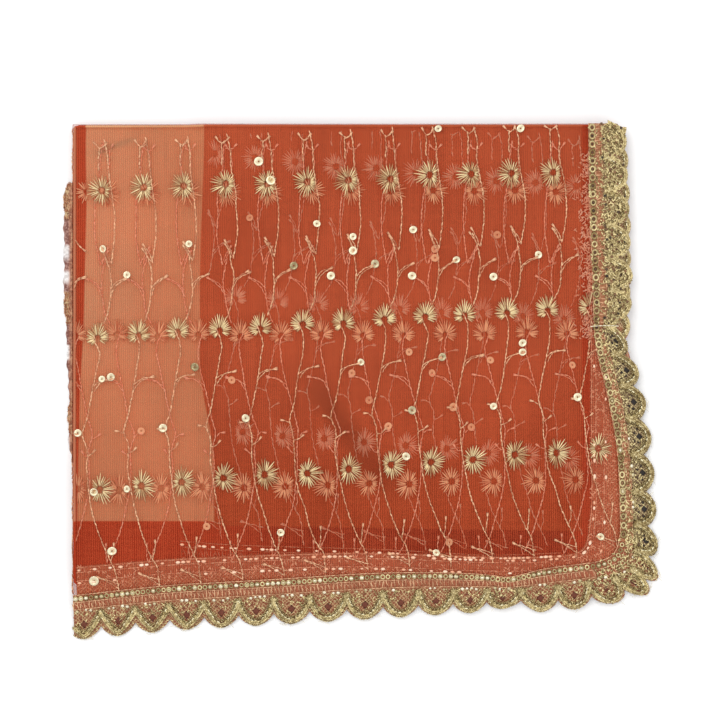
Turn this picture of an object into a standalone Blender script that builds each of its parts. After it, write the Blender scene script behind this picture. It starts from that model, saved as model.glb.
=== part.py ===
"""A net stole with a gold scalloped lace border, folded into a flat packet that lies on a table.

The stole is one long rectangle of sheer net. It is folded in half across its width, which makes the
long fold at +Y, and then to and fro along its length, which makes the folds at -X. The uppermost panel
ends at +X in the stole's short end, and both of its plies show there and along -Y, each with its lace.
All sizes are in metres. +Z is up, and the packet lies on the plane Z = 0.
"""

import math
from collections import namedtuple

import bpy
import numpy as np
from mathutils.geometry import delaunay_2d_cdt

# Cloth and lace
PLY_WALL = 0.0010
LACE_WALL = 0.0010
CORD_RELIEF = 0.0009
CHAIN_RELIEF = 0.0004
SEAM_GAP = 0.0003
UNDER_TOP_PLY = 0.0006
UNDER_SECOND_PLY = 0.0005
FLOOR_GAP = 0.0003

# The stack of hidden plies, which has fewer plies left of the inner fold
STACK_HEIGHT = 0.0080
THIN_STACK_HEIGHT = 0.0052
INNER_FOLD_X = -0.1015
INNER_FOLD_REACH = 0.0040
DRAPE_OVER_FOLD = 0.0130

# Outer faces of the two folds that the uppermost ply turns over
LEFT_FOLD_X = -0.1877
TOP_FOLD_Y = 0.1680
LEFT_TURN_DOWN = 0.0042
TOP_TURN_DOWN = 0.0029

# Outline of the hidden plies
HIDDEN_LEFT_X = -0.1863
HIDDEN_TOP_Y = 0.1664
HIDDEN_RIGHT_UPPER_X = 0.1690
HIDDEN_RIGHT_LOWER_X = 0.1650
HIDDEN_RIGHT_BEND_Y = (-0.020, 0.040)
HIDDEN_BOTTOM_LEFT_Y = -0.1330
HIDDEN_BOTTOM_RIGHT_Y = -0.1240
HIDDEN_CORNER = 0.0060

# Where the two upper plies run past the hidden ones, they sink to the table over this length
DRAPE_START = 0.012
DRAPE_LENGTH = 0.044

Station = namedtuple("Station", "scallop seam_x seam_y tip_x tip_y")

# The uppermost ply's border, from the long fold down the short end, round the corner and along the
# side. Each row gives the lace's seam and its tips, and how many scallops have gone by.
TOP_BORDER = (
    Station(0.0, 0.1473, 0.1680, 0.1715, 0.1680),
    Station(2.0, 0.1478, 0.1240, 0.1733, 0.1240),
    Station(4.0, 0.1492, 0.0805, 0.1750, 0.0805),
    Station(5.5, 0.1504, 0.0490, 0.1750, 0.0490),
    Station(6.0, 0.1508, 0.0367, 0.1690, 0.0367),
    Station(7.0, 0.1528, 0.0200, 0.1770, 0.0170),
    Station(8.5, 0.1605, -0.0120, 0.1855, -0.0130),
    Station(10.0, 0.1663, -0.0460, 0.1902, -0.0475),
    Station(11.5, 0.1680, -0.0820, 0.1924, -0.0830),
    Station(13.0, 0.1675, -0.1020, 0.1937, -0.1170),
    Station(14.0, 0.1635, -0.1110, 0.1925, -0.1340),
    Station(15.0, 0.1550, -0.1153, 0.1770, -0.1415),
    Station(16.0, 0.1440, -0.1172, 0.1520, -0.1460),
    Station(17.5, 0.1170, -0.1210, 0.1170, -0.1495),
    Station(18.3, 0.0960, -0.1260, 0.0970, -0.1470),
    Station(19.0, 0.0820, -0.1245, 0.0820, -0.1490),
    Station(21.5, 0.0260, -0.1230, 0.0260, -0.1530),
    Station(25.0, -0.0570, -0.1275, -0.0570, -0.1580),
    Station(28.0, -0.1250, -0.1318, -0.1250, -0.1620),
    Station(30.8, -0.1877, -0.1386, -0.1877, -0.1680),
)
TOP_CORNER_SCALLOP = 14.0

# The ply below it, whose edges lie further in
SECOND_BORDER = (
    Station(0.0, 0.1470, 0.1662, 0.1725, 0.1662),
    Station(3.0, 0.1480, 0.1020, 0.1755, 0.1020),
    Station(6.0, 0.1485, 0.0367, 0.1750, 0.0367),
    Station(9.0, 0.1485, -0.0300, 0.1750, -0.0300),
    Station(11.5, 0.1480, -0.0880, 0.1740, -0.0920),
    Station(12.5, 0.1450, -0.1050, 0.1720, -0.1180),
    Station(13.5, 0.1370, -0.1105, 0.1580, -0.1340),
    Station(14.5, 0.1220, -0.1120, 0.1300, -0.1390),
    Station(20.0, -0.0100, -0.1100, -0.0100, -0.1380),
    Station(25.0, -0.1250, -0.1145, -0.1250, -0.1435),
    Station(27.5, -0.1854, -0.1195, -0.1854, -0.1490),
)
SECOND_CORNER_SCALLOP = 12.8
SECOND_LEFT_X = -0.1854
SECOND_TOP_Y = 0.1662
SECOND_PHASE = 0.5

# Lines across the lace, as shares of its width at a valley between scallops and at a scallop's tip
LaceLine = namedtuple("LaceLine", "at_valley at_tip relief")
OPEN_LACE = (
    LaceLine(0.00, 0.00, 0.0),
    LaceLine(0.09, 0.10, CHAIN_RELIEF),
    LaceLine(0.20, 0.34, 0.0),
    LaceLine(0.26, 0.59, 0.0),
    LaceLine(0.31, 0.68, 0.0),
    LaceLine(0.36, 0.78, 0.0),
    LaceLine(0.45, 0.92, CORD_RELIEF),
    LaceLine(0.76, 1.00, 0.0),
)
HOLE_LINES = (3, 5)
PLAIN_LACE = (
    LaceLine(0.00, 0.00, 0.0),
    LaceLine(0.25, 0.33, 0.0),
    LaceLine(0.50, 0.67, 0.0),
    LaceLine(0.78, 1.00, 0.0),
)
OPEN_COLUMNS = (0.0, 0.2, 0.39, 0.5, 0.61, 0.8)
HOLE_COLUMNS = (0.39, 0.5, 0.61)
PLAIN_COLUMNS = (0.0, 0.25, 0.5, 0.75)
SCALLOP_ROUNDNESS = 0.7
LACE_RUFFLE = 0.0009
RUFFLE_SCALLOPS = 1.7

# The other short end's lace, on the lowest ply, shows past the left folds
FAR_LACE_TOP_Y = 0.1310
FAR_LACE_BOTTOM_Y = -0.0500
FAR_LACE_INNER_X = -0.1874
FAR_LACE_OUTER_X = -0.1937
FAR_LACE_SCALLOPS = 8
FAR_LACE_DEPTH = 0.0022

# The edge of the stack, from the table up: how far each hidden fold or edge stands out on each side
Lip = namedtuple("Lip", "left top right bottom")
LIPS = (
    Lip(0.0008, -0.0006, -0.0010, 0.0000),
    Lip(-0.0006, 0.0004, 0.0000, -0.0026),
    Lip(0.0000, -0.0010, -0.0030, -0.0008),
    Lip(-0.0012, -0.0004, -0.0014, -0.0032),
)
LIP_GROOVE = 0.0016
RIM_INSET = 0.0012
EDGE_STEP = 0.0098
LACE_EDGE_WAVE = 0.0010
LACE_PITCH = 0.0229

# Soft creases that all plies share: a ridge or a trough along a line
Crease = namedtuple("Crease", "from_x from_y to_x to_y width height")
CREASES = (
    Crease(-0.046, 0.021, 0.006, -0.040, 0.016, -0.0007),
    Crease(-0.150, 0.128, -0.105, 0.160, 0.014, 0.0004),
    Crease(0.060, 0.010, 0.120, -0.060, 0.022, 0.0005),
)
SWELL = 0.0004
SWELL_X = 0.038
SWELL_Y = 0.047

COLOURS = {
    "net": (0.66, 0.13, 0.05, 1.0),
    "hidden": (0.52, 0.09, 0.035, 1.0),
    "lace": (0.62, 0.50, 0.22, 1.0),
}


def smoothstep(share):
    """A smooth rise from 0 to 1 as the share goes from 0 to 1."""
    share = np.clip(share, 0.0, 1.0)
    return share * share * (3.0 - 2.0 * share)


def smooth_through(knots, values, where):
    """A smooth curve through the values at the knots, read at the places asked for."""
    knots = np.asarray(knots, float)
    values = np.asarray(values, float)
    slopes = np.gradient(values, knots)
    where = np.clip(np.asarray(where, float), knots[0], knots[-1])
    left = np.clip(np.searchsorted(knots, where, side="right") - 1, 0, len(knots) - 2)
    span = knots[left + 1] - knots[left]
    t = (where - knots[left]) / span
    start, end = values[left], values[left + 1]
    rise_start, rise_end = slopes[left] * span, slopes[left + 1] * span
    return (
        start * (2 * t**3 - 3 * t**2 + 1)
        + rise_start * (t**3 - 2 * t**2 + t)
        + end * (3 * t**2 - 2 * t**3)
        + rise_end * (t**3 - t**2)
    )


def hidden_right(y):
    """X of the hidden plies' right edge."""
    low, high = HIDDEN_RIGHT_BEND_Y
    share = smoothstep((y - low) / (high - low))
    return HIDDEN_RIGHT_LOWER_X + (HIDDEN_RIGHT_UPPER_X - HIDDEN_RIGHT_LOWER_X) * share


def hidden_bottom(x):
    """Y of the hidden plies' lower edge."""
    share = (x - HIDDEN_LEFT_X) / (HIDDEN_RIGHT_LOWER_X - HIDDEN_LEFT_X)
    return HIDDEN_BOTTOM_LEFT_Y + (HIDDEN_BOTTOM_RIGHT_Y - HIDDEN_BOTTOM_LEFT_Y) * share


def crease_height(x, y):
    """What the soft creases and the packet's slow swell add at a place."""
    total = SWELL * math.sin(x / SWELL_X + 1.0) * math.cos(y / SWELL_Y)
    for crease in CREASES:
        along_x = crease.to_x - crease.from_x
        along_y = crease.to_y - crease.from_y
        length = math.hypot(along_x, along_y)
        from_start = ((x - crease.from_x) * along_x + (y - crease.from_y) * along_y) / length
        aside = ((x - crease.from_x) * along_y - (y - crease.from_y) * along_x) / length
        beyond = max(-from_start, from_start - length, 0.0)
        total += crease.height * math.exp(-((aside / crease.width) ** 2) - (beyond / crease.width) ** 2)
    return total


def stack_height(x, y, reach):
    """Top of the hidden plies before their edges sink, with the inner fold's step this wide."""
    step = smoothstep((x - (INNER_FOLD_X - reach)) / reach)
    flat = THIN_STACK_HEIGHT + (STACK_HEIGHT - THIN_STACK_HEIGHT) * step
    return flat + crease_height(x, y)


def sunk(x, y):
    """How far a ply has sunk towards the table at a place: 0 on the stack, and 1 on the table."""
    past_right = max(x - hidden_right(y) + DRAPE_START, 0.0)
    past_bottom = max(hidden_bottom(x) - y + DRAPE_START, 0.0)
    return float(smoothstep(math.hypot(past_right, past_bottom) / DRAPE_LENGTH))


def top_ply_level(x, y):
    """Underside of the uppermost ply and of its lace."""
    over_stack = UNDER_SECOND_PLY + PLY_WALL + UNDER_TOP_PLY
    full = stack_height(x, y, DRAPE_OVER_FOLD) + over_stack
    return FLOOR_GAP + (full - FLOOR_GAP) * (1.0 - sunk(x, y))


def second_ply_level(x, y):
    """Underside of the second ply and of its lace."""
    return top_ply_level(x, y) - UNDER_TOP_PLY - PLY_WALL


def hidden_level(x, y):
    """Top of the hidden plies."""
    bed = second_ply_level(x, y) - UNDER_SECOND_PLY
    return bed - (stack_height(x, y, DRAPE_OVER_FOLD) - stack_height(x, y, INNER_FOLD_REACH))


# The lines of a ply that turns over a fold, from its lower edge to the flat: how far in from the
# fold each lies, and how far it has dropped on the stack and where the ply lies on the table
TurnLine = namedtuple("TurnLine", "inset drop table_drop")
OUTER_TURN = (
    TurnLine(0.0004, None, 0.0008),
    TurnLine(0.0000, 0.0020, 0.0005),
    TurnLine(0.0006, 0.0006, 0.0002),
    TurnLine(0.0020, 0.0000, 0.0000),
)
INNER_TURN = (
    TurnLine(0.0013, None, 0.0010),
    TurnLine(0.0010, 0.0023, 0.0010),
    TurnLine(0.0014, 0.0015, 0.0010),
    TurnLine(0.0022, 0.0010, 0.0010),
)
TURN_LINES = len(OUTER_TURN)
TURN_ROOM = 0.0045


def turn_drop(line, depth, room):
    """How far one line of a turned edge has dropped, given the room under the ply."""
    full = depth if line.drop is None else line.drop
    return line.table_drop + (full - line.table_drop) * room


def ply_point(x, y, left_line, top_line, outer):
    """A point on the uppermost ply or its lace, on its outer or inner face."""
    face = OUTER_TURN if outer else INNER_TURN
    flat = face[-1].drop
    if left_line is not None:
        x = LEFT_FOLD_X + face[left_line].inset
    if top_line is not None:
        y = TOP_FOLD_Y - face[top_line].inset
    level = top_ply_level(x, y)
    room = min((level - FLOOR_GAP) / TURN_ROOM, 1.0)
    left_drop = top_drop = flat
    if left_line is not None:
        left_drop = turn_drop(face[left_line], LEFT_TURN_DOWN, room)
    if top_line is not None:
        top_drop = turn_drop(face[top_line], TOP_TURN_DOWN, room)
    return x, y, level + PLY_WALL - flat - math.hypot(left_drop - flat, top_drop - flat)


class Border:
    """A lace border's seam and tips, as curves of the number of scallops that have gone by."""

    def __init__(self, stations):
        self.knots = [s.scallop for s in stations]
        self.first = self.knots[0]
        self.last = self.knots[-1]
        self.columns = np.array([s[1:] for s in stations])

    def at(self, scallop):
        """(seam point, tip point) at a number of scallops."""
        seam_x, seam_y, tip_x, tip_y = (
            float(smooth_through(self.knots, self.columns[:, k], scallop)) for k in range(4)
        )
        return np.array((seam_x, seam_y)), np.array((tip_x, tip_y))

    def seam(self, scallop, inside=0.0):
        """A point on the seam, moved in from it by a distance."""
        seam, tip = self.at(scallop)
        return seam + (seam - tip) / np.linalg.norm(tip - seam) * inside


def wall(name, over, under, faces, material):
    """A closed wall from its upper and lower points and the faces that both share."""
    count = len(over)
    uses = {}
    for face in faces:
        for a, b in zip(face, face[1:] + face[:1]):
            uses[(a, b)] = True
    rim = [(a, b) for a, b in uses if (b, a) not in uses]
    solid = list(faces)
    solid += [tuple(v + count for v in reversed(face)) for face in faces]
    solid += [(b, a, a + count, b + count) for a, b in rim]
    return add_mesh(name, list(over) + list(under), solid, material)


def add_mesh(name, points, faces, material):
    """An object with this mesh and one plain material."""
    mesh = bpy.data.meshes.new(name)
    mesh.from_pydata([tuple(map(float, p)) for p in points], [], faces)
    mesh.update()
    mesh.materials.append(plain_material(material))
    mesh.shade_smooth()
    mesh.set_sharp_from_angle(angle=math.radians(40))
    placed = bpy.data.objects.new(name, mesh)
    bpy.context.scene.collection.objects.link(placed)
    return placed


def plain_material(key):
    """One finish per kind of cloth, shared by its pieces."""
    found = bpy.data.materials.get(key)
    if found is not None:
        return found
    made = bpy.data.materials.new(key)
    made.use_nodes = True
    shader = made.node_tree.nodes["Principled BSDF"]
    shader.inputs["Base Color"].default_value = COLOURS[key]
    shader.inputs["Roughness"].default_value = 0.45 if key == "lace" else 0.8
    shader.inputs["Metallic"].default_value = 0.7 if key == "lace" else 0.0
    return made


def grid_faces(columns, rows):
    """Quads of a grid whose points run along each row in turn, seen from above."""
    return [
        (r * columns + c, r * columns + c + 1, (r + 1) * columns + c + 1, (r + 1) * columns + c)
        for r in range(rows - 1)
        for c in range(columns - 1)
    ]


def coons(left, right, bottom, top, s, t):
    """A point inside four edge curves, each a function of its own share."""
    corners = (
        (1 - s) * (1 - t) * bottom(0.0)
        + s * (1 - t) * bottom(1.0)
        + (1 - s) * t * top(0.0)
        + s * t * top(1.0)
    )
    return (1 - s) * left(t) + s * right(t) + (1 - t) * bottom(s) + t * top(s) - corners


class EdgeLine:
    """A stretch of a border's seam, read by its x or its y."""

    def __init__(self, border, from_scallop, to_scallop, axis):
        self.border = border
        self.numbers = np.linspace(from_scallop, to_scallop, 400)
        self.places = np.array([border.seam(n, SEAM_GAP)[axis] for n in self.numbers])

    def at(self, place):
        """The point of the seam whose x or y is this."""
        return self.border.seam(float(np.interp(place, self.places, self.numbers)), SEAM_GAP)


def spread(places, low, high, low_end, high_end):
    """Grid lines from one end of an edge to the other: the same lines for every ply in the middle."""
    inside = [p for p in places if low < p < high]
    below = [low + (low_end - low) * k / EDGE_LINES for k in range(EDGE_LINES, -1, -1)]
    above = [high + (high_end - high) * k / EDGE_LINES for k in range(EDGE_LINES + 1)]
    return (below if low_end < low else [low_end]) + inside + above


def ply_grid(border, corner, left_x, top_y):
    """Rows of points (x, y) over a ply, from its lower edge up and from its left edge across."""
    bottom = EdgeLine(border, border.last, corner, 0)
    right = EdgeLine(border, corner, border.first, 1)
    corner_point = border.seam(corner, SEAM_GAP)
    columns = spread(GRID_X, left_x, SHARED_TO_X, left_x, corner_point[0])
    rows = spread(GRID_Y, SHARED_FROM_Y, top_y, corner_point[1], top_y)[: -EDGE_LINES]
    grid = []
    for row_y in rows:
        end = right.at(min(row_y, top_y))
        points = []
        for column_x in columns:
            past = max(column_x - SHARED_TO_X, 0.0) / (corner_point[0] - SHARED_TO_X)
            x = column_x if past == 0.0 else SHARED_TO_X + (end[0] - SHARED_TO_X) * past
            below = max(SHARED_FROM_Y - row_y, 0.0) / (SHARED_FROM_Y - corner_point[1])
            low = bottom.at(column_x)[1] if past < 1.0 else corner_point[1]
            y = row_y if below == 0.0 else SHARED_FROM_Y + (low - SHARED_FROM_Y) * below
            points.append((x, y))
        grid.append(points)
    return grid


GRID_X = (
    -0.170, -0.145, -0.122, -0.1145, -0.110, -0.1065, -0.1045, -0.1025, -0.1005, -0.090, -0.065,
    -0.042, -0.022, -0.004, 0.020, 0.045, 0.070, 0.095,
)
GRID_Y = (
    -0.075, -0.055, -0.035, -0.015, 0.002, 0.014, 0.024, 0.032, 0.040, 0.052, 0.072, 0.096,
    0.120, 0.142, 0.157,
)
SHARED_TO_X = 0.118
SHARED_FROM_Y = -0.092
EDGE_LINES = 4


def build_top_ply():
    """The uppermost ply: it turns down over the folds at the left and at the top."""
    inner_left = LEFT_FOLD_X + OUTER_TURN[-1].inset
    inner_top = TOP_FOLD_Y - OUTER_TURN[-1].inset
    grid = ply_grid(Border(TOP_BORDER), TOP_CORNER_SCALLOP, inner_left, inner_top)
    turns = list(range(TURN_LINES))
    columns = [(0, k) for k in turns] + [(c, None) for c in range(1, len(grid[0]))]
    rows = [(r, None) for r in range(len(grid) - 1)] + [(len(grid) - 1, k) for k in reversed(turns)]
    over, under = [], []
    for row, top_line in rows:
        for column, left_line in columns:
            x, y = grid[row][column]
            over.append(ply_point(x, y, left_line, top_line, True))
            under.append(ply_point(x, y, left_line, top_line, False))
    wall("top_ply", over, under, grid_faces(len(columns), len(rows)), "net")


def build_second_ply():
    """The ply below, flat inside the turned edges of the uppermost one."""
    grid = ply_grid(Border(SECOND_BORDER), SECOND_CORNER_SCALLOP, SECOND_LEFT_X, SECOND_TOP_Y)
    under = [(x, y, second_ply_level(x, y)) for row in grid for x, y in row]
    over = [(x, y, z + PLY_WALL) for x, y, z in under]
    wall("second_ply", over, under, grid_faces(len(grid[0]), len(grid)), "net")


def scallop_share(scallop, phase):
    """0 at a valley between two scallops, and 1 at a tip."""
    return abs(math.sin(math.pi * (scallop + phase))) ** SCALLOP_ROUNDNESS


def lace_columns(first, last, places, phase):
    """Scallop numbers of the lace's columns, with both of its ends."""
    found = {round(first, 4), round(last, 4)}
    for whole in range(math.floor(first + phase) - 1, math.ceil(last + phase) + 1):
        for place in places:
            number = whole + place - phase
            if first + 0.05 < number < last - 0.05:
                found.add(round(number, 4))
    return sorted(found)


def in_hole(scallop, next_scallop, line):
    """True for the cells inside a scallop's hole, between its hole columns and lines."""
    low, middle, high = HOLE_COLUMNS
    start, end = scallop % 1.0, next_scallop % 1.0
    sideways = any(
        abs(start - a) < 0.01 and abs(end - b) < 0.01 for a, b in ((low, middle), (middle, high))
    )
    return sideways and HOLE_LINES[0] <= line < HOLE_LINES[1]


def build_open_lace(name, border, first, last, turns_at_top=False, turns_at_left=False):
    """A stretch of the uppermost ply's lace, with a raised cord and a hole in each scallop."""
    numbers = lace_columns(first, last, OPEN_COLUMNS, 0.0)
    columns = [(n, None) for n in numbers]
    if turns_at_top:
        columns = [(first, k) for k in range(TURN_LINES)] + columns[1:]
    if turns_at_left:
        columns = columns[:-1] + [(last, k) for k in reversed(range(TURN_LINES))]
    over, under = [], []
    for line in OPEN_LACE:
        for number, turn in columns:
            seam, tip = border.at(number)
            tipness = scallop_share(number, 0.0)
            share = line.at_valley + (line.at_tip - line.at_valley) * tipness
            out = (tip - seam) / np.linalg.norm(tip - seam)
            x, y = seam + out * SEAM_GAP + (tip - seam) * share
            ruffle = LACE_RUFFLE * share**2 * (1 - math.cos(2 * math.pi * number / RUFFLE_SCALLOPS)) / 2
            left_line = turn if turns_at_left else None
            top_line = turn if turns_at_top else None
            ox, oy, oz = ply_point(x, y, left_line, top_line, True)
            ux, uy, uz = ply_point(x, y, left_line, top_line, False)
            over.append((ox, oy, oz + ruffle + line.relief))
            under.append((ux, uy, uz + ruffle))
    faces = [
        face
        for face in grid_faces(len(columns), len(OPEN_LACE))
        if not hole_face(face, columns)
    ]
    wall(name, over, under, facing_up(over, faces), "lace")


def hole_face(face, columns):
    """True if a face of the lace's grid lies in a hole."""
    width = len(columns)
    line, column = divmod(min(face), width)
    return in_hole(columns[column][0], columns[column + 1][0], line)


def facing_up(points, faces):
    """The same faces, each turned so that it faces up if the first one didn't."""
    total = 0.0
    for face in faces:
        a, b, c = (np.array(points[v][:2]) for v in face[:3])
        total += float((b - a)[0] * (c - a)[1] - (b - a)[1] * (c - a)[0])
    return faces if total > 0 else [tuple(reversed(face)) for face in faces]


def build_plain_lace(name, border, first, last, phase):
    """A stretch of the second ply's lace, which the uppermost ply covers."""
    numbers = lace_columns(first, last, PLAIN_COLUMNS, phase)
    over, under = [], []
    for line in PLAIN_LACE:
        for number in numbers:
            seam, tip = border.at(number)
            tipness = scallop_share(number, phase)
            share = line.at_valley + (line.at_tip - line.at_valley) * tipness
            out = (tip - seam) / np.linalg.norm(tip - seam)
            x, y = seam + out * SEAM_GAP + (tip - seam) * share
            level = second_ply_level(x, y)
            under.append((x, y, level))
            over.append((x, y, level + LACE_WALL))
    faces = grid_faces(len(numbers), len(PLAIN_LACE))
    wall(name, over, under, facing_up(over, faces), "lace")


def build_far_lace():
    """The lowest ply's short-end lace, a narrow strip on the table past the left folds."""
    numbers = np.linspace(0.0, FAR_LACE_SCALLOPS, FAR_LACE_SCALLOPS * len(PLAIN_COLUMNS) + 1)
    over, under = [], []
    for outward in (0.0, 1.0):
        for number in numbers:
            y = FAR_LACE_TOP_Y + (FAR_LACE_BOTTOM_Y - FAR_LACE_TOP_Y) * number / FAR_LACE_SCALLOPS
            outer_x = FAR_LACE_OUTER_X + FAR_LACE_DEPTH * (1.0 - scallop_share(number, 0.0))
            x = FAR_LACE_INNER_X + (outer_x - FAR_LACE_INNER_X) * outward
            under.append((x, y, 0.0))
            over.append((x, y, LACE_WALL * (1.6 - 0.6 * outward)))
    faces = grid_faces(len(numbers), 2)
    wall("far_end_lace", over, under, facing_up(over, faces), "lace")


def hidden_outline():
    """Points round the hidden plies' edge, counter-clockwise, each with its outward direction."""
    right_low = HIDDEN_BOTTOM_RIGHT_Y
    corners = (
        np.array((HIDDEN_LEFT_X, HIDDEN_BOTTOM_LEFT_Y)),
        np.array((HIDDEN_RIGHT_LOWER_X, right_low)),
        np.array((HIDDEN_RIGHT_UPPER_X, HIDDEN_TOP_Y)),
        np.array((HIDDEN_LEFT_X, HIDDEN_TOP_Y)),
    )
    points = []
    for here, after in zip(corners, corners[1:] + corners[:1]):
        length = float(np.linalg.norm(after - here)) - 2 * HIDDEN_CORNER
        along = (after - here) / np.linalg.norm(after - here)
        for k in range(round(length / EDGE_STEP) + 1):
            points.append(here + along * (HIDDEN_CORNER + length * k / round(length / EDGE_STEP)))
        points.append(after - corner_cut(along))
    outline = []
    for x, y in points:
        if x > HIDDEN_RIGHT_LOWER_X - HIDDEN_CORNER / 2 and y > HIDDEN_BOTTOM_RIGHT_Y + HIDDEN_CORNER:
            x = float(hidden_right(y))
        outline.append(np.array((x, y)))
    return outline


def corner_cut(along):
    """How far a rounded corner lies in from the square one, for the side that runs into it."""
    turn = np.array((-along[1], along[0]))
    return (along - turn) * HIDDEN_CORNER * (1 - math.sqrt(0.5))


def outward_directions(outline):
    """The outward direction at each point of a closed outline."""
    points = np.array(outline)
    along = np.roll(points, -1, axis=0) - np.roll(points, 1, axis=0)
    along /= np.linalg.norm(along, axis=1)[:, None]
    return np.stack((along[:, 1], -along[:, 0]), axis=1)


def lip_reach(lip, out, x, y, number):
    """How far a hidden fold or edge stands out here, with a scalloped edge where it has lace."""
    reach = (
        lip.left * max(-out[0], 0.0) ** 2
        + lip.right * max(out[0], 0.0) ** 2
        + lip.top * max(out[1], 0.0) ** 2
        + lip.bottom * max(-out[1], 0.0) ** 2
    )
    laced = max(out[0], 0.0) ** 2 + max(-out[1], 0.0) ** 2
    wave = abs(math.sin(math.pi * ((x - y) / LACE_PITCH + 0.37 * number)))
    return reach - laced * LACE_EDGE_WAVE * (1.0 - wave)


def build_hidden_layers():
    """The hidden plies as one solid: flat below, layered round its edge, stepped at the inner fold."""
    outline = hidden_outline()
    directions = outward_directions(outline)
    count = len(outline)
    rims = [
        (x - out[0] * RIM_INSET, y - out[1] * RIM_INSET) for (x, y), out in zip(outline, directions)
    ]
    levels = [hidden_level(x, y) for x, y in rims]
    rings = []
    steps = 2 * len(LIPS)
    for step in range(steps):
        share = step / steps
        number = step // 2
        lip = LIPS[number]
        ring = []
        for (x, y), out, top in zip(outline, directions, levels):
            reach = lip_reach(lip, out, x, y, number)
            if step % 2 == 0:
                below = LIPS[max(number - 1, 0)]
                reach = min(reach, lip_reach(below, out, x, y, max(number - 1, 0))) - LIP_GROOVE / 2
            ring.append((x + out[0] * reach, y + out[1] * reach, top * share))
        rings.append(ring)
    rings.append([(x, y, top) for (x, y), top in zip(rims, levels)])
    points = [p for ring in rings for p in ring]
    faces = [tuple(reversed(range(count)))]
    for ring in range(len(rings) - 1):
        start = ring * count
        for k in range(count):
            after = (k + 1) % count
            faces.append((start + k, start + after, start + count + after, start + count + k))
    top_start = (len(rings) - 1) * count
    inner, triangles = hidden_top(rims)
    points += inner
    extra = len(points) - len(inner)
    faces += [
        tuple(top_start + v if v < count else extra + v - count for v in triangle)
        for triangle in triangles
    ]
    add_mesh("hidden_layers", points, faces, "hidden")


HIDDEN_INNER_X = GRID_X + (0.118, 0.130, 0.141, 0.150, 0.157)
HIDDEN_INNER_Y = (-0.1185, -0.112, -0.102, -0.092) + GRID_Y[:-1] + (0.155,)


def hidden_top(rims):
    """Points and triangles of the hidden plies' upper face, inside its rim."""
    count = len(rims)
    inside = [(x, y) for x in HIDDEN_INNER_X for y in HIDDEN_INNER_Y]
    flat = [tuple(p) for p in rims] + inside
    ring = [(k, (k + 1) % count) for k in range(count)]
    placed, _, triangles, *_ = delaunay_2d_cdt(flat, ring, [], 1, 1e-7)
    inner = [(p.x, p.y, hidden_level(p.x, p.y)) for p in placed[count:]]
    upward = []
    for a, b, c in triangles:
        turn = (placed[b] - placed[a]).cross(placed[c] - placed[a])
        upward.append((a, b, c) if turn > 0 else (a, c, b))
    return inner, upward


def main():
    """Clears the scene and builds each piece."""
    for stale in list(bpy.data.objects):
        bpy.data.objects.remove(stale)
    build_hidden_layers()
    build_second_ply()
    build_top_ply()
    top_border = Border(TOP_BORDER)
    build_open_lace("end_lace", top_border, 0.0, 13.0, turns_at_top=True)
    build_open_lace("side_lace", top_border, 13.02, top_border.last, turns_at_left=True)
    second_border = Border(SECOND_BORDER)
    build_plain_lace("second_end_lace", second_border, 0.0, 12.0, SECOND_PHASE)
    build_plain_lace("second_side_lace", second_border, 12.02, second_border.last, SECOND_PHASE)
    build_far_lace()


main()
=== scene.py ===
"""A sheer net stole with gold embroidery and scalloped lace, folded flat on a pale table.

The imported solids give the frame. Each class below makes one part of the stole in metres, in that same
frame: +X runs towards the short end's lace, +Y towards the long fold, and +Z up off the table.
"""

from __future__ import annotations

import logging
import math
from dataclasses import dataclass, field, replace
from enum import Enum
from typing import Callable, NamedTuple, Sequence

import bpy
import numpy as np
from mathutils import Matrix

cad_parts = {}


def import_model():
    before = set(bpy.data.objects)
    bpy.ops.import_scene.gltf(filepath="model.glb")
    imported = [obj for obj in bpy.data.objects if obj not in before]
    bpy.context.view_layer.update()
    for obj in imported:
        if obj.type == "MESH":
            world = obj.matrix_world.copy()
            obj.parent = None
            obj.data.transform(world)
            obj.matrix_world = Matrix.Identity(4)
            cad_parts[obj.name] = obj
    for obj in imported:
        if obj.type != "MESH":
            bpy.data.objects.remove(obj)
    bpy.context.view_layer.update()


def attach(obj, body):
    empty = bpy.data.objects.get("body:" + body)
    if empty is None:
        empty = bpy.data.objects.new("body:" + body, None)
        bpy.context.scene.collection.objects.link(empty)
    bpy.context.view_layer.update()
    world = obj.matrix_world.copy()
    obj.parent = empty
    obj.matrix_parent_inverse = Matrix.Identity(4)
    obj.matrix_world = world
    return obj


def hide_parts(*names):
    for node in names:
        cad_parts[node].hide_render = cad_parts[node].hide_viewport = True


LOG = logging.getLogger("stole")
MM = 0.001
Array = np.ndarray
Span = tuple[float, float]
Colour = tuple[float, float, float]
Inputs = dict[str | int, object]
Number = Array | float
Sides = tuple[Number, Number, Number]
HeightField = Callable[[Array, Array], Array]
Chance = np.random.Generator
Material = bpy.types.Material
Piece = bpy.types.Object


def smoothstep(share: Array) -> Array:
    """Return a smooth rise from 0 to 1 as the share goes from 0 to 1."""
    share = np.clip(share, 0.0, 1.0)
    return share * share * (3.0 - 2.0 * share)


def smooth_through(knots: Sequence[float], values: Sequence[float], where: Array) -> Array:
    """Read a smooth curve that runs through values at knots.

    Args:
        knots: Rising places along the curve.
        values: The curve's value at each knot.
        where: The places to read it at.

    Returns:
        The curve's values there.
    """
    knots = np.asarray(knots, float)
    values = np.asarray(values, float)
    slopes = np.gradient(values, knots)
    where = np.clip(np.asarray(where, float), knots[0], knots[-1])
    left = np.clip(np.searchsorted(knots, where, side="right") - 1, 0, len(knots) - 2)
    span = knots[left + 1] - knots[left]
    t = (where - knots[left]) / span
    rise_start, rise_end = slopes[left] * span, slopes[left + 1] * span
    return (
        values[left] * (2 * t**3 - 3 * t**2 + 1)
        + rise_start * (t**3 - 2 * t**2 + t)
        + values[left + 1] * (3 * t**2 - 2 * t**3)
        + rise_end * (t**3 - t**2)
    )


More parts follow.
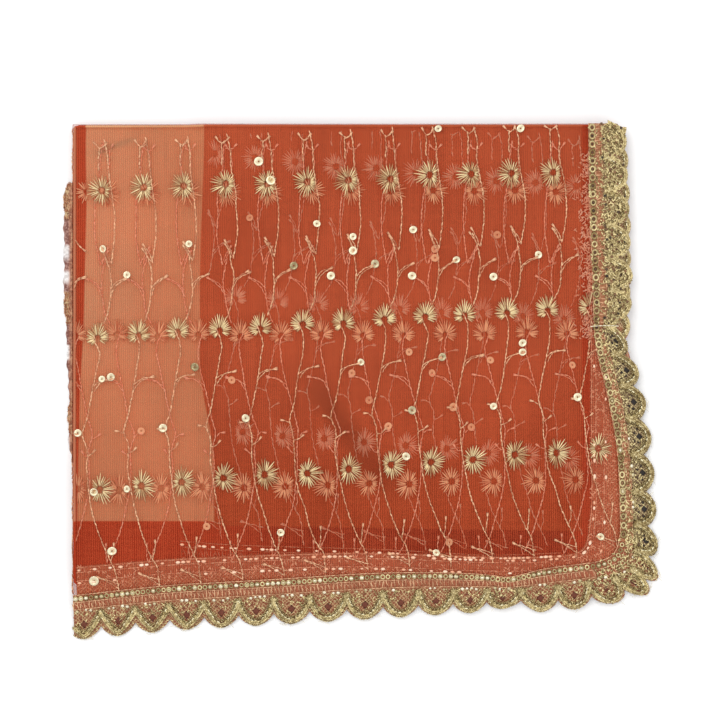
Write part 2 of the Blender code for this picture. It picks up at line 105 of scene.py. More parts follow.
class Crease(NamedTuple):
    """A soft ridge or trough along a line."""

    from_x: float
    from_y: float
    to_x: float
    to_y: float
    width: float
    height: float


CREASES: tuple[Crease, ...] = (
    Crease(-0.046, 0.021, 0.006, -0.04, 0.016, -0.0007),
    Crease(-0.15, 0.128, -0.105, 0.16, 0.014, 0.0004),
    Crease(0.06, 0.01, 0.12, -0.06, 0.022, 0.0005),
)


@dataclass(frozen=True)
class Packet:
    """The folded packet's own heights, which every piece lies on."""

    ply_wall: float = 1.0 * MM
    under_top: float = 0.6 * MM
    under_second: float = 0.5 * MM
    floor_gap: float = 0.3 * MM
    stack: float = 8.0 * MM
    thin_stack: float = 5.2 * MM
    fold_x: float = -101.5 * MM
    fold_reach: float = 4.0 * MM
    drape_over_fold: float = 13.0 * MM
    left_x: float = -187.7 * MM
    top_y: float = 168.0 * MM
    hidden_left: float = -186.3 * MM
    hidden_top: float = 166.4 * MM
    hidden_right_upper: float = 169.0 * MM
    hidden_right_lower: float = 165.0 * MM
    hidden_bottom_left: float = -133.0 * MM
    hidden_bottom_right: float = -124.0 * MM
    drape_start: float = 12.0 * MM
    drape_length: float = 44.0 * MM
    swell: float = 0.4 * MM
    swell_across: float = 38.0 * MM
    swell_down: float = 47.0 * MM

    def hidden_right(self, y: Array) -> Array:
        """Return x of the hidden plies' right edge."""
        share = smoothstep((y + 0.02) / 0.06)
        return self.hidden_right_lower + (self.hidden_right_upper - self.hidden_right_lower) * share

    def hidden_bottom(self, x: Array) -> Array:
        """Return y of the hidden plies' lower edge."""
        share = (x - self.hidden_left) / (self.hidden_right_lower - self.hidden_left)
        return self.hidden_bottom_left + (self.hidden_bottom_right - self.hidden_bottom_left) * share

    def creases(self, x: Array, y: Array) -> Array:
        """Return what the creases and the slow swell add."""
        total = self.swell * np.sin(x / self.swell_across + 1.0) * np.cos(y / self.swell_down)
        for crease in CREASES:
            along_x, along_y = crease.to_x - crease.from_x, crease.to_y - crease.from_y
            length = math.hypot(along_x, along_y)
            far = ((x - crease.from_x) * along_x + (y - crease.from_y) * along_y) / length
            aside = ((x - crease.from_x) * along_y - (y - crease.from_y) * along_x) / length
            beyond = np.maximum(np.maximum(-far, far - length), 0.0)
            fading = -((aside / crease.width) ** 2) - (beyond / crease.width) ** 2
            total = total + crease.height * np.exp(fading)
        return total

    def stack_height(self, x: Array, y: Array, reach: float) -> Array:
        """Return the hidden plies' height, with the inner fold's step this wide."""
        step = smoothstep((x - (self.fold_x - reach)) / reach)
        return self.thin_stack + (self.stack - self.thin_stack) * step + self.creases(x, y)

    def sunk(self, x: Array, y: Array) -> Array:
        """Return how far a ply has sunk towards the table, from 0 to 1."""
        right = np.maximum(x - self.hidden_right(y) + self.drape_start, 0.0)
        bottom = np.maximum(self.hidden_bottom(x) - y + self.drape_start, 0.0)
        return smoothstep(np.hypot(right, bottom) / self.drape_length)

    def top_underside(self, x: Array, y: Array) -> Array:
        """Return the height of the uppermost ply's underside."""
        full = self.stack_height(x, y, self.drape_over_fold)
        full = full + self.under_second + self.ply_wall + self.under_top
        return self.floor_gap + (full - self.floor_gap) * (1.0 - self.sunk(x, y))

    def top(self, x: Array, y: Array) -> Array:
        """Return the height of the uppermost ply's face."""
        return self.top_underside(x, y) + self.ply_wall

    def second(self, x: Array, y: Array) -> Array:
        """Return the height of the second ply's face."""
        return self.top_underside(x, y) - self.under_top

    def hidden(self, x: Array, y: Array) -> Array:
        """Return the height of the hidden plies' upper face."""
        bed = self.second(x, y) - self.ply_wall - self.under_second
        wide = self.stack_height(x, y, self.drape_over_fold)
        return bed - (wide - self.stack_height(x, y, self.fold_reach))


PACKET = Packet()


# A border's stations: the number of scallops gone by, the seam's x and y, and the tips' x and y.
TOP_BORDER = (
    (0.0, 0.1473, 0.168, 0.1715, 0.168),
    (2.0, 0.1478, 0.124, 0.1733, 0.124),
    (4.0, 0.1492, 0.0805, 0.175, 0.0805),
    (5.5, 0.1504, 0.049, 0.175, 0.049),
    (6.0, 0.1508, 0.0367, 0.169, 0.0367),
    (7.0, 0.1528, 0.02, 0.177, 0.017),
    (8.5, 0.1605, -0.012, 0.1855, -0.013),
    (10.0, 0.1663, -0.046, 0.1902, -0.0475),
    (11.5, 0.168, -0.082, 0.1924, -0.083),
    (13.0, 0.1675, -0.102, 0.1937, -0.117),
    (14.0, 0.1635, -0.111, 0.1925, -0.134),
    (15.0, 0.155, -0.1153, 0.177, -0.1415),
    (16.0, 0.144, -0.1172, 0.152, -0.146),
    (17.5, 0.117, -0.121, 0.117, -0.1495),
    (18.3, 0.096, -0.126, 0.097, -0.147),
    (19.0, 0.082, -0.1245, 0.082, -0.149),
    (21.5, 0.026, -0.123, 0.026, -0.153),
    (25.0, -0.057, -0.1275, -0.057, -0.158),
    (28.0, -0.125, -0.1318, -0.125, -0.162),
    (30.8, -0.1877, -0.1386, -0.1877, -0.168),
)
SECOND_BORDER = (
    (0.0, 0.147, 0.1662, 0.1725, 0.1662),
    (3.0, 0.148, 0.102, 0.1755, 0.102),
    (6.0, 0.1485, 0.0367, 0.175, 0.0367),
    (9.0, 0.1485, -0.03, 0.175, -0.03),
    (11.5, 0.148, -0.088, 0.174, -0.092),
    (12.5, 0.145, -0.105, 0.172, -0.118),
    (13.5, 0.137, -0.1105, 0.158, -0.134),
    (14.5, 0.122, -0.112, 0.13, -0.139),
    (20.0, -0.01, -0.11, -0.01, -0.138),
    (25.0, -0.125, -0.1145, -0.125, -0.1435),
    (27.5, -0.1854, -0.1195, -0.1854, -0.149),
)


class Border:
    """A lace border, read by scallops gone by and by the share of its width."""

    ruffle_height = 0.9 * MM
    ruffle_scallops = 1.7
    roundness = 0.7

    def __init__(
        self, stations: Sequence[tuple[float, ...]], corner: float, phase: float, level: HeightField
    ) -> None:
        """Keep the border's stations.

        Args:
            stations: Its seam and tips, from the long fold round to the left folds.
            corner: The scallop number at the corner.
            phase: Where its valleys are, as a share of a scallop.
            level: The height of the face that it lies at.
        """
        self.knots, *self.columns = np.array(stations).T
        self.first, self.last = float(self.knots[0]), float(self.knots[-1])
        self.corner, self.phase, self.level = corner, phase, level
        self.table = np.linspace(self.first, self.last, 1200)
        seam, _ = self.at(self.table)
        steps = np.hypot(*np.diff(seam, axis=0).T)
        self.travel = np.concatenate(((0.0,), np.cumsum(steps)))

    def at(self, scallop: Array) -> tuple[Array, Array]:
        """Return the seam and tip points at these numbers of scallops."""
        read = [smooth_through(self.knots, column, scallop) for column in self.columns]
        return np.stack(read[:2], axis=-1), np.stack(read[2:], axis=-1)

    def place(self, scallop: Array, share: Array) -> tuple[Array, Array]:
        """Return x and y at these numbers of scallops and shares of the width."""
        seam, tip = self.at(np.asarray(scallop, float))
        span = tip - seam
        out = span / np.linalg.norm(span, axis=-1, keepdims=True)
        point = seam + out * PACKET.floor_gap + span * np.asarray(share, float)[..., None]
        return point[..., 0], point[..., 1]

    def wave(self, scallop: Array) -> Array:
        """Return 0 at a valley between two scallops and 1 at a tip."""
        return np.abs(np.sin(math.pi * (np.asarray(scallop) + self.phase))) ** self.roundness

    def ruffle(self, scallop: Array, share: Array) -> Array:
        """Return how far the loose edge lifts."""
        wave = 1 - np.cos(2 * math.pi * np.asarray(scallop) / self.ruffle_scallops)
        return self.ruffle_height * np.square(share) * wave / 2

    def spaced(self, first: float, last: float, pitch: float) -> Array:
        """Return numbers of scallops a pitch apart along the seam."""
        low, high = np.interp((first, last), self.table, self.travel)
        return np.interp(np.arange(low + pitch / 2, high, pitch), self.travel, self.table)


TOP_EDGE = Border(TOP_BORDER, 14.0, 0.0, PACKET.top)
SECOND_EDGE = Border(SECOND_BORDER, 12.8, 0.5, PACKET.second)


class Gloss(Enum):
    """How a thread or foil takes the light: its metallic share and its roughness."""

    METAL_THREAD = (0.62, 0.36)
    SILK_THREAD = (0.15, 0.55)
    FOIL = (0.45, 0.22)


class Signal:
    """A number or colour on its way through a material's nodes, so that sums read as sums."""

    def __init__(self, kit: NodeKit, socket: bpy.types.NodeSocket) -> None:
        """Keep the socket that carries it."""
        self.kit, self.socket = kit, socket

    def __add__(self, other: Signal | float) -> Signal:
        """Return the sum."""
        return self.kit.math("ADD", self, other)

    def __sub__(self, other: Signal | float) -> Signal:
        """Return the difference."""
        return self.kit.math("SUBTRACT", self, other)

    def __rsub__(self, other: float) -> Signal:
        """Return a number less this."""
        return self.kit.math("SUBTRACT", other, self)

    def __mul__(self, other: Signal | float) -> Signal:
        """Return the product."""
        return self.kit.math("MULTIPLY", self, other)

    def __abs__(self) -> Signal:
        """Return the size without its sign."""
        return self.kit.math("ABSOLUTE", self)

    def rise(self, low: float, high: float) -> Signal:
        """Return a smooth 0 to 1 as this goes from low to high."""
        inputs = {"Value": self, "From Min": low, "From Max": high}
        return self.kit.read("MapRange", "Result", inputs, interpolation_type="SMOOTHSTEP")

    def fall(self, low: float, high: float) -> Signal:
        """Return a smooth 1 to 0 as this goes from low to high."""
        return 1.0 - self.rise(low, high)


class NodeKit:
    """Short ways to add and join a material's nodes."""

    def __init__(self, name: str, constants: dict[str, float]) -> None:
        """Start a new material with one Principled shader and set the shader's constants."""
        self.material = bpy.data.materials.new(name)
        self.material.use_nodes = True
        self.tree = self.material.node_tree
        self.shader = self.tree.nodes["Principled BSDF"]
        self.feed(self.shader, constants)

    def feed(self, node: bpy.types.Node, inputs: Inputs) -> None:
        """Set or join a node's inputs."""
        for key, value in inputs.items():
            socket = node.inputs[key]
            if isinstance(value, Signal):
                self.tree.links.new(value.socket, socket)
            else:
                socket.default_value = (*value, 1.0) if socket.type == "RGBA" else value

    def read(self, kind: str, output: str | int, inputs: Inputs, **settings: object) -> Signal:
        """Add a node and return one of its outputs.

        Args:
            kind: The node's kind.
            output: The output that is read.
            inputs: What its inputs are set or joined to.
            settings: Its properties.

        Returns:
            The output's signal.
        """
        made = self.tree.nodes.new("ShaderNode" + kind)
        for key, value in settings.items():
            setattr(made, key, value)
        self.feed(made, inputs)
        return Signal(self, made.outputs[output])

    def math(self, operation: str, first: Signal | float, second: Signal | float = 0.0) -> Signal:
        """Return the result of a Math node."""
        return self.read("Math", 0, {0: first, 1: second}, operation=operation)

    def mix(self, share: Signal, first: Signal | Colour, second: Signal | Colour) -> Signal:
        """Return a mix of two colours."""
        return self.read("Mix", 2, {0: share, 6: first, 7: second}, data_type="RGBA")

    def place(self) -> Signal:
        """Return Object coordinates."""
        return self.read("TexCoord", "Object", {})

    def axes(self, vector: Signal | None = None) -> list[Signal]:
        """Return the three parts of a vector, or else of Object coordinates."""
        inputs = {0: vector or self.place()}
        return [self.read("SeparateXYZ", axis, inputs) for axis in range(3)]

    def tone(self) -> Signal:
        """Return the shade that is stored at each point."""
        return self.read("Attribute", "Fac", {}, attribute_name="tone")

    def noise(self, scale: float, detail: float = 2.0, stretch: Colour | None = None) -> Signal:
        """Return noise over Object coordinates, which may be scaled along each axis first."""
        where = self.place()
        if stretch is not None:
            where = self.read("Mapping", "Vector", {"Vector": where, "Scale": stretch})
        return self.read("TexNoise", "Fac", {"Vector": where, "Scale": scale, "Detail": detail})

    def bands(self, direction: str, scale: float, distortion: float, detail: float = 2.0) -> Signal:
        """Return even bands along one axis of Object coordinates."""
        inputs = {"Vector": self.place(), "Scale": scale, "Distortion": distortion, "Detail": detail}
        return self.read("TexWave", "Fac", inputs, wave_type="BANDS", bands_direction=direction)

    def dress(self, colour: Signal, height: Signal, strength: float, distance: float) -> Material:
        """Give the shader its colour and its bump, and return the material."""
        relief = {"Height": height, "Strength": strength, "Distance": distance}
        self.feed(self.shader, {"Base Color": colour, "Normal": self.read("Bump", "Normal", relief)})
        return self.material


@dataclass(frozen=True)
class ThreadFinish:
    """Twisted thread, beads or foil: two colours, blended by each stitch's own tone."""

    name: str
    dark: Colour
    light: Colour
    gloss: Gloss
    speckle_scale: float = 900.0
    speckle: float = 0.7
    twist_scale: float = 2600.0
    twist_relief: tuple[float, float] = (0.35, 0.0002)

    def build(self) -> Material:
        """Return the material."""
        metallic, roughness = self.gloss.value
        kit = NodeKit(self.name, {"Metallic": metallic, "Roughness": roughness})
        share = kit.tone() + (kit.noise(self.speckle_scale) - 0.5) * self.speckle
        colour = kit.mix(share.rise(0.0, 1.0), self.dark, self.light)
        return kit.dress(colour, kit.noise(self.twist_scale, 1.0), *self.twist_relief)


class PaintedCreaseShade(NamedTuple):
    """Painted shade along a soft crease: its two ends and half its width in metres, and how dark the painted
    shade is.
    """

    x: float
    y: float
    to_x: float
    to_y: float
    half_width: float
    depth: float

    def shade(self, x: Signal, y: Signal) -> Signal:
        """Return how much this crease's painted shade darkens the net, from 0 to 1."""
        length = math.hypot(self.to_x - self.x, self.to_y - self.y)
        ux, uy = (self.to_x - self.x) / length, (self.to_y - self.y) / length
        start, across = self.x * ux + self.y * uy, self.y * ux - self.x * uy
        along, aside = x * ux + y * uy, x * -uy + y * ux
        valley = abs(aside - across).fall(0.08 * self.half_width, self.half_width)
        reach = along.rise(start, start + 0.25 * length) * along.fall(start + 0.7 * length, start + length)
        return valley * reach * self.depth


PAINTED_CREASE_SHADES: tuple[PaintedCreaseShade, ...] = (
    PaintedCreaseShade(-0.0397, 0.0114, 0.0273, -0.0809, 0.013, 0.65),
    PaintedCreaseShade(-0.1781, 0.1472, -0.1424, 0.1602, 0.0035, 0.75),
)


@dataclass(frozen=True)
class NetFinish:
    """Sheer net: fine upright lines, slow colour drift and painted shade along soft creases."""

    name: str
    deep: Colour
    light: Colour
    see_through: float
    # Painted shade that darkens the net along its soft creases.
    painted_crease_shade: Colour = (0.2, 0.022, 0.008)
    warp_bands: float = 224.0
    warp_grain: Colour = (700.0, 22.0, 60.0)
    pick_grain: Colour = (50.0, 900.0, 60.0)
    weave_relief: tuple[float, float] = (0.15, 0.0003)

    def build(self) -> Material:
        """Return the material."""
        constants = {"Roughness": 0.8, "Specular IOR Level": 0.1, "Alpha": 1.0 - self.see_through}
        kit = NodeKit(self.name, constants)
        warp = kit.noise(1.0, 2.0, self.warp_grain) * 0.5 + kit.bands("X", self.warp_bands, 1.5, 1.0) * 0.5
        picks = kit.noise(1.0, 1.0, self.pick_grain)
        share = warp * 0.75 + picks * 0.25 + (kit.noise(16.0, 3.0) - 0.5) * 0.4
        woven = kit.mix(share.rise(0.34, 0.66), self.deep, self.light)
        x, y, _ = kit.axes()
        # Painted shade along each soft crease darkens the woven colour.
        for fold in PAINTED_CREASE_SHADES:
            woven = kit.mix(fold.shade(x, y), woven, self.painted_crease_shade)
        return kit.dress(woven, warp + picks, *self.weave_relief)


@dataclass(frozen=True)
class StackFinish:
    """The hidden plies: red at the edges, brighter inside, and peach where fewer plies lie, with painted
    shade on their sides and along the long fold.

    A span is where one zone passes into the next, in metres along x or y.
    """

    name: str = "stacked_net"
    deep: Colour = (0.42, 0.034, 0.01)
    left_deep: Colour = (0.5, 0.058, 0.02)
    darker: Colour = (0.11, 0.002, 0.001)
    bright: Colour = (0.56, 0.15, 0.062)
    shaded: Colour = (0.48, 0.108, 0.04)
    peach: Colour = (0.88, 0.56, 0.285)
    low_peach: Colour = (0.83, 0.51, 0.255)
    warm_peach: Colour = (1.0, 0.69, 0.37)
    foot: Colour = (0.33, 0.06, 0.014)
    # fold is painted shade on the plies' side faces; the bands between them take fold_light.
    fold: Colour = (0.06, 0.008, 0.006)
    fold_light: Colour = (0.4, 0.035, 0.015)
    left_rim: Colour = (0.6, 0.29, 0.16)
    # A thin painted shadow along the long fold, on the upper face's last millimetre.
    fold_line_painted_shadow: Colour = (0.07, 0.014, 0.008)
    warp: Colour = (0.36, 0.045, 0.018)
    inner_left: Span = (-0.1836, -0.1824)
    inner_foot: Span = (-0.0939, -0.0929)
    inner_right: Span = (0.1428, 0.1444)
    inner_fold: Span = (-0.0961, -0.0949)
    peach_foot: Span = (-0.0908, -0.0898)
    rim_left: Span = (-0.1857, -0.1854)
    # Where the painted shadow along the long fold starts and ends, below the fold.
    painted_shadow_band: Span = (-0.0012, -0.0004)
    lean: float = 0.0233
    bulge: float = 0.0014
    foot_slope: float = 0.016
    fold_bow: float = 0.0095
    fold_return: float = 0.003

    def reds(self, kit: NodeKit, x: Signal, y: Signal) -> Signal:
        """Return the brighter red inside, which is darker to the lower right and at the foot."""
        red = kit.mix(kit.noise(9.0, 3.0).rise(0.3, 0.7) * 0.6, self.bright, self.shaded)
        red = kit.mix((x - y).rise(0.02, 0.24) * 0.8, red, self.shaded)
        return kit.mix(y.fall(-0.095, 0.035) * 0.85, red, self.foot)

    def peaches(self, kit: NodeKit, x: Signal, y: Signal) -> Signal:
        """Return the peach of the thinner part, which is warmest at its upper left."""
        peach = kit.mix(y.rise(-0.1, 0.17), self.low_peach, self.peach)
        return kit.mix(x.fall(-0.178, -0.118) * y.rise(-0.03, 0.06), peach, self.warm_peach)

    def edges(self, kit: NodeKit, x: Signal) -> Signal:
        """Return the deep red of the outer strips, darkest in the middle of the lower one."""
        deep = kit.mix(x.rise(-0.12, -0.02) * x.fall(0.132, 0.142), self.deep, self.darker)
        return kit.mix(x.rise(-0.172, -0.15), self.left_deep, deep)

    def zones(self, kit: NodeKit, x: Signal, y: Signal) -> Signal:
        """Return the colour of each zone of the upper face."""
        swell = y.rise(-0.01, 0.04) * y.fall(0.11, 0.16)
        slant = x - y * self.lean - swell * self.bulge
        foot_line = y + (x + 0.0656) * self.foot_slope
        inside = slant.rise(*self.inner_left) * foot_line.rise(*self.inner_foot) * x.fall(*self.inner_right)
        bow = y.rise(-0.055, 0.015) * self.fold_bow - y.rise(0.06, 0.167) * self.fold_return
        left = (x + bow).fall(*self.inner_fold)
        inner = kit.mix(left, self.reds(kit, x, y), self.peaches(kit, x, y))
        zone = kit.mix(inside, self.edges(kit, x), inner)
        zone = kit.mix(x.rise(*self.rim_left), self.left_rim, zone)
        return kit.mix(left * y.fall(*self.peach_foot), zone, self.deep)

    def build(self) -> Material:
        """Return the material."""
        kit = NodeKit(self.name, {"Roughness": 0.85, "Specular IOR Level": 0.1})
        x, y, _ = kit.axes()
        weave = (kit.noise(1.0, 2.0, (700.0, 30.0, 60.0)) + kit.bands("X", 224.0, 2.0)) * 0.5
        face = kit.mix(weave.rise(0.25, 0.75) * 0.22, self.zones(kit, x, y), self.warp)
        # Painted shadow along the long fold.
        below, above = self.painted_shadow_band
        face = kit.mix(y.rise(PACKET.top_y + below, PACKET.top_y + above), face, self.fold_line_painted_shadow)
        # Painted shade: faces turned away from up take the dark side colour, banded by height; faces that
        # look up keep the zones.
        side = kit.mix(kit.bands("Z", 300.0, 2.0), self.fold, self.fold_light)
        upward = kit.axes(kit.read("NewGeometry", "Normal", {}))[2].rise(0.3, 0.8)
        return kit.dress(kit.mix(upward, side, face), weave, 0.15, 0.0003)


@dataclass(frozen=True)
class LaceGroundFinish:
    """The lace's net: red-brown at the seam, then a lattice of thread out to the edge.

    Its sizes and spans are in millimetres along the lace and across it.
    """

    name: str
    seam: Colour
    net: Colour
    thread: Colour
    gold_until: float = -50.0
    rung: Colour = (0.62, 0.3, 0.14)
    gold_net: Colour = (0.3, 0.125, 0.055)
    gold_thread: Colour = (0.78, 0.63, 0.34)
    lattice_pitch: float = 2.5
    rung_pitch: float = 1.35
    wander: float = 4.5
    band_end: Span = (8.0, 11.5)

    def build(self) -> Material:
        """Return the material."""
        kit = NodeKit(self.name, {"Roughness": 0.5, "Metallic": 0.25})
        along, across, _ = kit.axes(kit.read("UVMap", 0, {}, uv_map="lace"))
        wires = []
        for sign, grain in ((1.0, 210.0), (-1.0, 260.0)):
            slanted = along + across * sign + kit.noise(grain) * self.wander
            wires.append(kit.math("SINE", slanted * (2 * math.pi / self.lattice_pitch)).rise(0.35, 0.9))
        patchy = kit.noise(420.0).rise(0.35, 0.65)
        lattice = kit.math("MAXIMUM", *wires) * (patchy * 0.55 + 0.45)
        rungs = kit.math("SINE", along * (2 * math.pi / self.rung_pitch)).rise(0.2, 0.9)
        rungs = rungs * kit.noise(500.0).rise(0.35, 0.6)
        band = kit.mix(rungs * 0.55, self.seam, self.rung)
        early = along.fall(self.gold_until - 4.0, self.gold_until + 4.0)
        net = kit.mix(early, self.net, self.gold_net)
        worked = kit.mix(lattice, net, kit.mix(early, self.thread, self.gold_thread))
        colour = kit.mix(across.rise(*self.band_end), band, worked)
        return kit.dress(colour, kit.math("MAXIMUM", lattice, rungs * 0.5), 0.5, 0.0004)


@dataclass(frozen=True)
class FarLaceFinish:
    """The far lace: brown gold, dusky net or pale thread, by its own mark, and brown at its seam."""

    name: str = "far_lace"
    gold: tuple[Colour, Colour] = ((0.15, 0.062, 0.026), (0.56, 0.38, 0.2))
    dusk: tuple[Colour, Colour] = ((0.16, 0.048, 0.032), (0.4, 0.22, 0.18))
    pale: tuple[Colour, Colour] = ((0.62, 0.58, 0.56), (0.86, 0.84, 0.82))
    seam: tuple[Colour, Colour] = ((0.26, 0.085, 0.042), (0.5, 0.23, 0.13))
    seam_span: Span = (-0.192, -0.1897)

    def build(self) -> Material:
        """Return the material."""
        kit = NodeKit(self.name, {"Roughness": 0.6})
        tone = kit.tone()
        grain = ((kit.noise(700.0) + kit.noise(330.0)) * 0.5).rise(0.42, 0.58)
        pairs = (self.gold, self.dusk, self.pale, self.seam)
        gold, dusk, pale, seam = (kit.mix(grain, *pair) for pair in pairs)
        lace = kit.mix(tone.rise(0.6, 0.9), kit.mix(tone.rise(0.1, 0.4), gold, dusk), pale)
        colour = kit.mix(kit.axes()[0].rise(*self.seam_span), lace, seam)
        return kit.dress(colour, grain, 0.4, 0.0003)


@dataclass
class Stamp:
    """A small shape that is modelled once and copied many times."""

    points: Array
    faces: list[tuple[int, ...]]

    @staticmethod
    def taken_from(piece: Piece) -> "Stamp":
        """Read a modelled object's mesh, then remove the object."""
        mesh = piece.data
        points = np.array([v.co for v in mesh.vertices], float)
        faces = [tuple(p.vertices) for p in mesh.polygons]
        bpy.data.objects.remove(piece)
        bpy.data.meshes.remove(mesh)
        return Stamp(points, faces)


def clear_selection() -> None:
    """Deselect all objects, so that an operator acts on the new one alone."""
    for other in bpy.context.selected_objects:
        other.select_set(False)


class Workbench:
    """Models the stamps by hand with Blender's operators."""

    def petal(self) -> Stamp:
        """Return one satin stitch of a sun: a slim rounded loop, tapered towards its outer end."""
        clear_selection()
        turned = (0, math.pi / 2, 0)
        bpy.ops.mesh.primitive_uv_sphere_add(segments=6, ring_count=4, radius=0.5, rotation=turned)
        bpy.ops.object.transform_apply(location=False, rotation=True, scale=False)
        return self.shaped(lambda co: co[0] > 0.2, bpy.ops.transform.resize, (1.0, 0.72, 0.9))

    def stitch(self) -> Stamp:
        """Return one stitch: a slim lozenge one unit long."""
        clear_selection()
        bpy.ops.mesh.primitive_ico_sphere_add(subdivisions=1, radius=0.5)
        return self.shaped(lambda co: abs(co[0]) < 0.3, bpy.ops.transform.resize, (1.0, 0.92, 0.92))

    def bead(self) -> Stamp:
        """Return one round bead, a little flat on top."""
        clear_selection()
        bpy.ops.mesh.primitive_uv_sphere_add(segments=8, ring_count=4, radius=0.5)
        return self.shaped(lambda co: co[2] > 0.45, bpy.ops.transform.translate, (0.0, 0.0, -0.06))

    def ring(self) -> Stamp:
        """Return one corded ring of the lace's header."""
        clear_selection()
        bpy.ops.mesh.primitive_torus_add(
            major_segments=10, minor_segments=5, major_radius=0.36, minor_radius=0.14
        )
        return Stamp.taken_from(bpy.context.active_object)

    def sequin(self) -> Stamp:
        """Return one cupped disc with a hole at its middle."""
        clear_selection()
        bpy.ops.mesh.primitive_circle_add(vertices=16, radius=0.5, fill_type="NOTHING")
        piece = bpy.context.active_object
        bpy.ops.object.mode_set(mode="EDIT")
        bpy.ops.mesh.select_all(action="SELECT")
        for share, drop in ((0.72, -0.035), (0.19 / 0.72, -0.02)):
            bpy.ops.mesh.extrude_edges_move()
            bpy.ops.transform.resize(value=(share, share, 1.0))
            bpy.ops.transform.translate(value=(0.0, 0.0, drop))
        bpy.ops.object.mode_set(mode="OBJECT")
        wall = piece.modifiers.new("wall", "SOLIDIFY")
        wall.thickness, wall.offset = 0.03, 0.0
        bpy.ops.object.modifier_apply(modifier=wall.name)
        bpy.ops.object.mode_set(mode="EDIT")
        bpy.ops.mesh.select_all(action="SELECT")
        bpy.ops.mesh.normals_make_consistent(inside=False)
        bpy.ops.object.mode_set(mode="OBJECT")
        return Stamp.taken_from(piece)

    def shaped(self, test: Callable[[Array], bool], act: Callable[..., object], value: Colour) -> Stamp:
        """Shape the new primitive, and take it as a stamp.

        Args:
            test: Which of its vertices are shaped.
            act: The operator that shapes them.
            value: How far.
        """
        piece = bpy.context.active_object
        bpy.ops.object.mode_set(mode="EDIT")
        bpy.ops.mesh.select_mode(type="VERT")
        bpy.ops.mesh.select_all(action="DESELECT")
        bpy.ops.object.mode_set(mode="OBJECT")
        for vertex in piece.data.vertices:
            vertex.select = bool(test(vertex.co))
        bpy.ops.object.mode_set(mode="EDIT")
        act(value=value)
        bpy.ops.object.mode_set(mode="OBJECT")
        return Stamp.taken_from(piece)


def put_in_scene(mesh: bpy.types.Mesh, material: Material, smooth: bool) -> Piece:
    """Give a mesh its finish, and return it as an object at the origin."""
    mesh.materials.append(material)
    if smooth:
        mesh.shade_smooth()
    mesh.update()
    piece = bpy.data.objects.new(mesh.name, mesh)
    bpy.context.scene.collection.objects.link(piece)
    return piece


def mesh_piece(
    name: str, axes: tuple[Array, Array, Array], faces: Sequence[Sequence[int]], material: Material
) -> Piece:
    """Make a piece from points and faces.

    Args:
        name: The piece's name.
        axes: Its points' x, y and z.
        faces: Its faces.
        material: Its finish.

    Returns:
        The new object, at the origin.
    """
    points = np.stack(axes, axis=-1).reshape(-1, 3)
    mesh = bpy.data.meshes.new(name)
    mesh.from_pydata([tuple(p) for p in points], [], [tuple(int(v) for v in f) for f in faces])
    return put_in_scene(mesh, material, True)


def grid_faces(index: Array) -> Array:
    """Return the four-sided faces of a grid of point numbers."""
    corners = (index[:-1, :-1], index[:-1, 1:], index[1:, 1:], index[1:, :-1])
    return np.stack(corners, axis=-1).reshape(-1, 4)


def span_sides(lower: Array, right: Array, upper: Array, left: Array) -> Array:
    """Return a grid of points that is stretched between four sides.

    Args:
        lower: The lower side's points, from the left.
        right: The right side's, from below.
        upper: The upper side's, from the left.
        left: The left side's, from below.
    """
    s = np.linspace(0.0, 1.0, len(lower))[None, :, None]
    t = np.linspace(0.0, 1.0, len(left))[:, None, None]
    grid = (1 - s) * left[:, None] + s * right[:, None] + (1 - t) * lower[None] + t * upper[None]
    low_corners = (1 - s) * lower[0] + s * lower[-1]
    return grid - (1 - t) * low_corners - t * ((1 - s) * upper[0] + s * upper[-1])


def face_up(piece: Piece) -> None:
    """Turn a sheet's faces up if they face the table."""
    if sum(p.normal.z for p in piece.data.polygons) < 0:
        piece.data.flip_normals()


@dataclass
class Scatter:
    """Copies of one stamp, which are gathered into one piece."""

    stamp: Stamp
    level: HeightField
    cloth: Callable[[Array], Array] | None = None
    rows: list[Array] = field(default_factory=list)

    def add(self, x: Number, y: Number, angle: Number, size: Sides, tone: Number, lift: Number) -> None:
        """Place copies.

        Args:
            x: Their middles' x.
            y: Their middles' y.
            angle: The direction of each one's long side, in radians.
            size: Length, width and height of each.
            tone: Each one's own shade, from 0 to 1.
            lift: How far each one's middle is above the face.
        """
        values = [np.atleast_1d(np.asarray(v, float)) for v in (x, y, angle, *size, tone, lift)]
        self.rows.append(np.stack(np.broadcast_arrays(*values), axis=1))

    def build(self, name: str, material: Material, smooth: bool = True) -> Piece:
        """Return the gathered piece."""
        rows = np.concatenate(self.rows)
        if self.cloth is not None:
            rows = rows[self.cloth(rows)]
        x, y, angle, length, width, height, tone, lift = (rows[:, k : k + 1] for k in range(8))
        own = self.stamp.points
        along, aside = own[:, 0] * length, own[:, 1] * width
        px = x + along * np.cos(angle) - aside * np.sin(angle)
        py = y + along * np.sin(angle) + aside * np.cos(angle)
        pz = self.level(px, py) + own[:, 2] * height + lift
        points = np.stack((px, py, pz), axis=-1).reshape(-1, 3)
        count, copies = len(own), len(rows)
        starts = np.arange(copies)[:, None] * count
        loops = np.concatenate([np.array(f) for f in self.stamp.faces])
        sizes = np.array([len(f) for f in self.stamp.faces])
        all_loops = (starts + loops[None, :]).ravel()
        all_sizes = np.tile(sizes, copies)
        mesh = bpy.data.meshes.new(name)
        mesh.vertices.add(len(points))
        mesh.vertices.foreach_set("co", points.ravel())
        mesh.loops.add(len(all_loops))
        mesh.loops.foreach_set("vertex_index", all_loops.astype(np.int32))
        mesh.polygons.add(len(all_sizes))
        mesh.polygons.foreach_set("loop_start", (np.cumsum(all_sizes) - all_sizes).astype(np.int32))
        mesh.polygons.foreach_set("loop_total", all_sizes.astype(np.int32))
        mesh.update(calc_edges=True)
        mesh.attributes.new("tone", "FLOAT", "POINT").data.foreach_set("value", np.repeat(tone[:, 0], count))
        return put_in_scene(mesh, material, smooth)


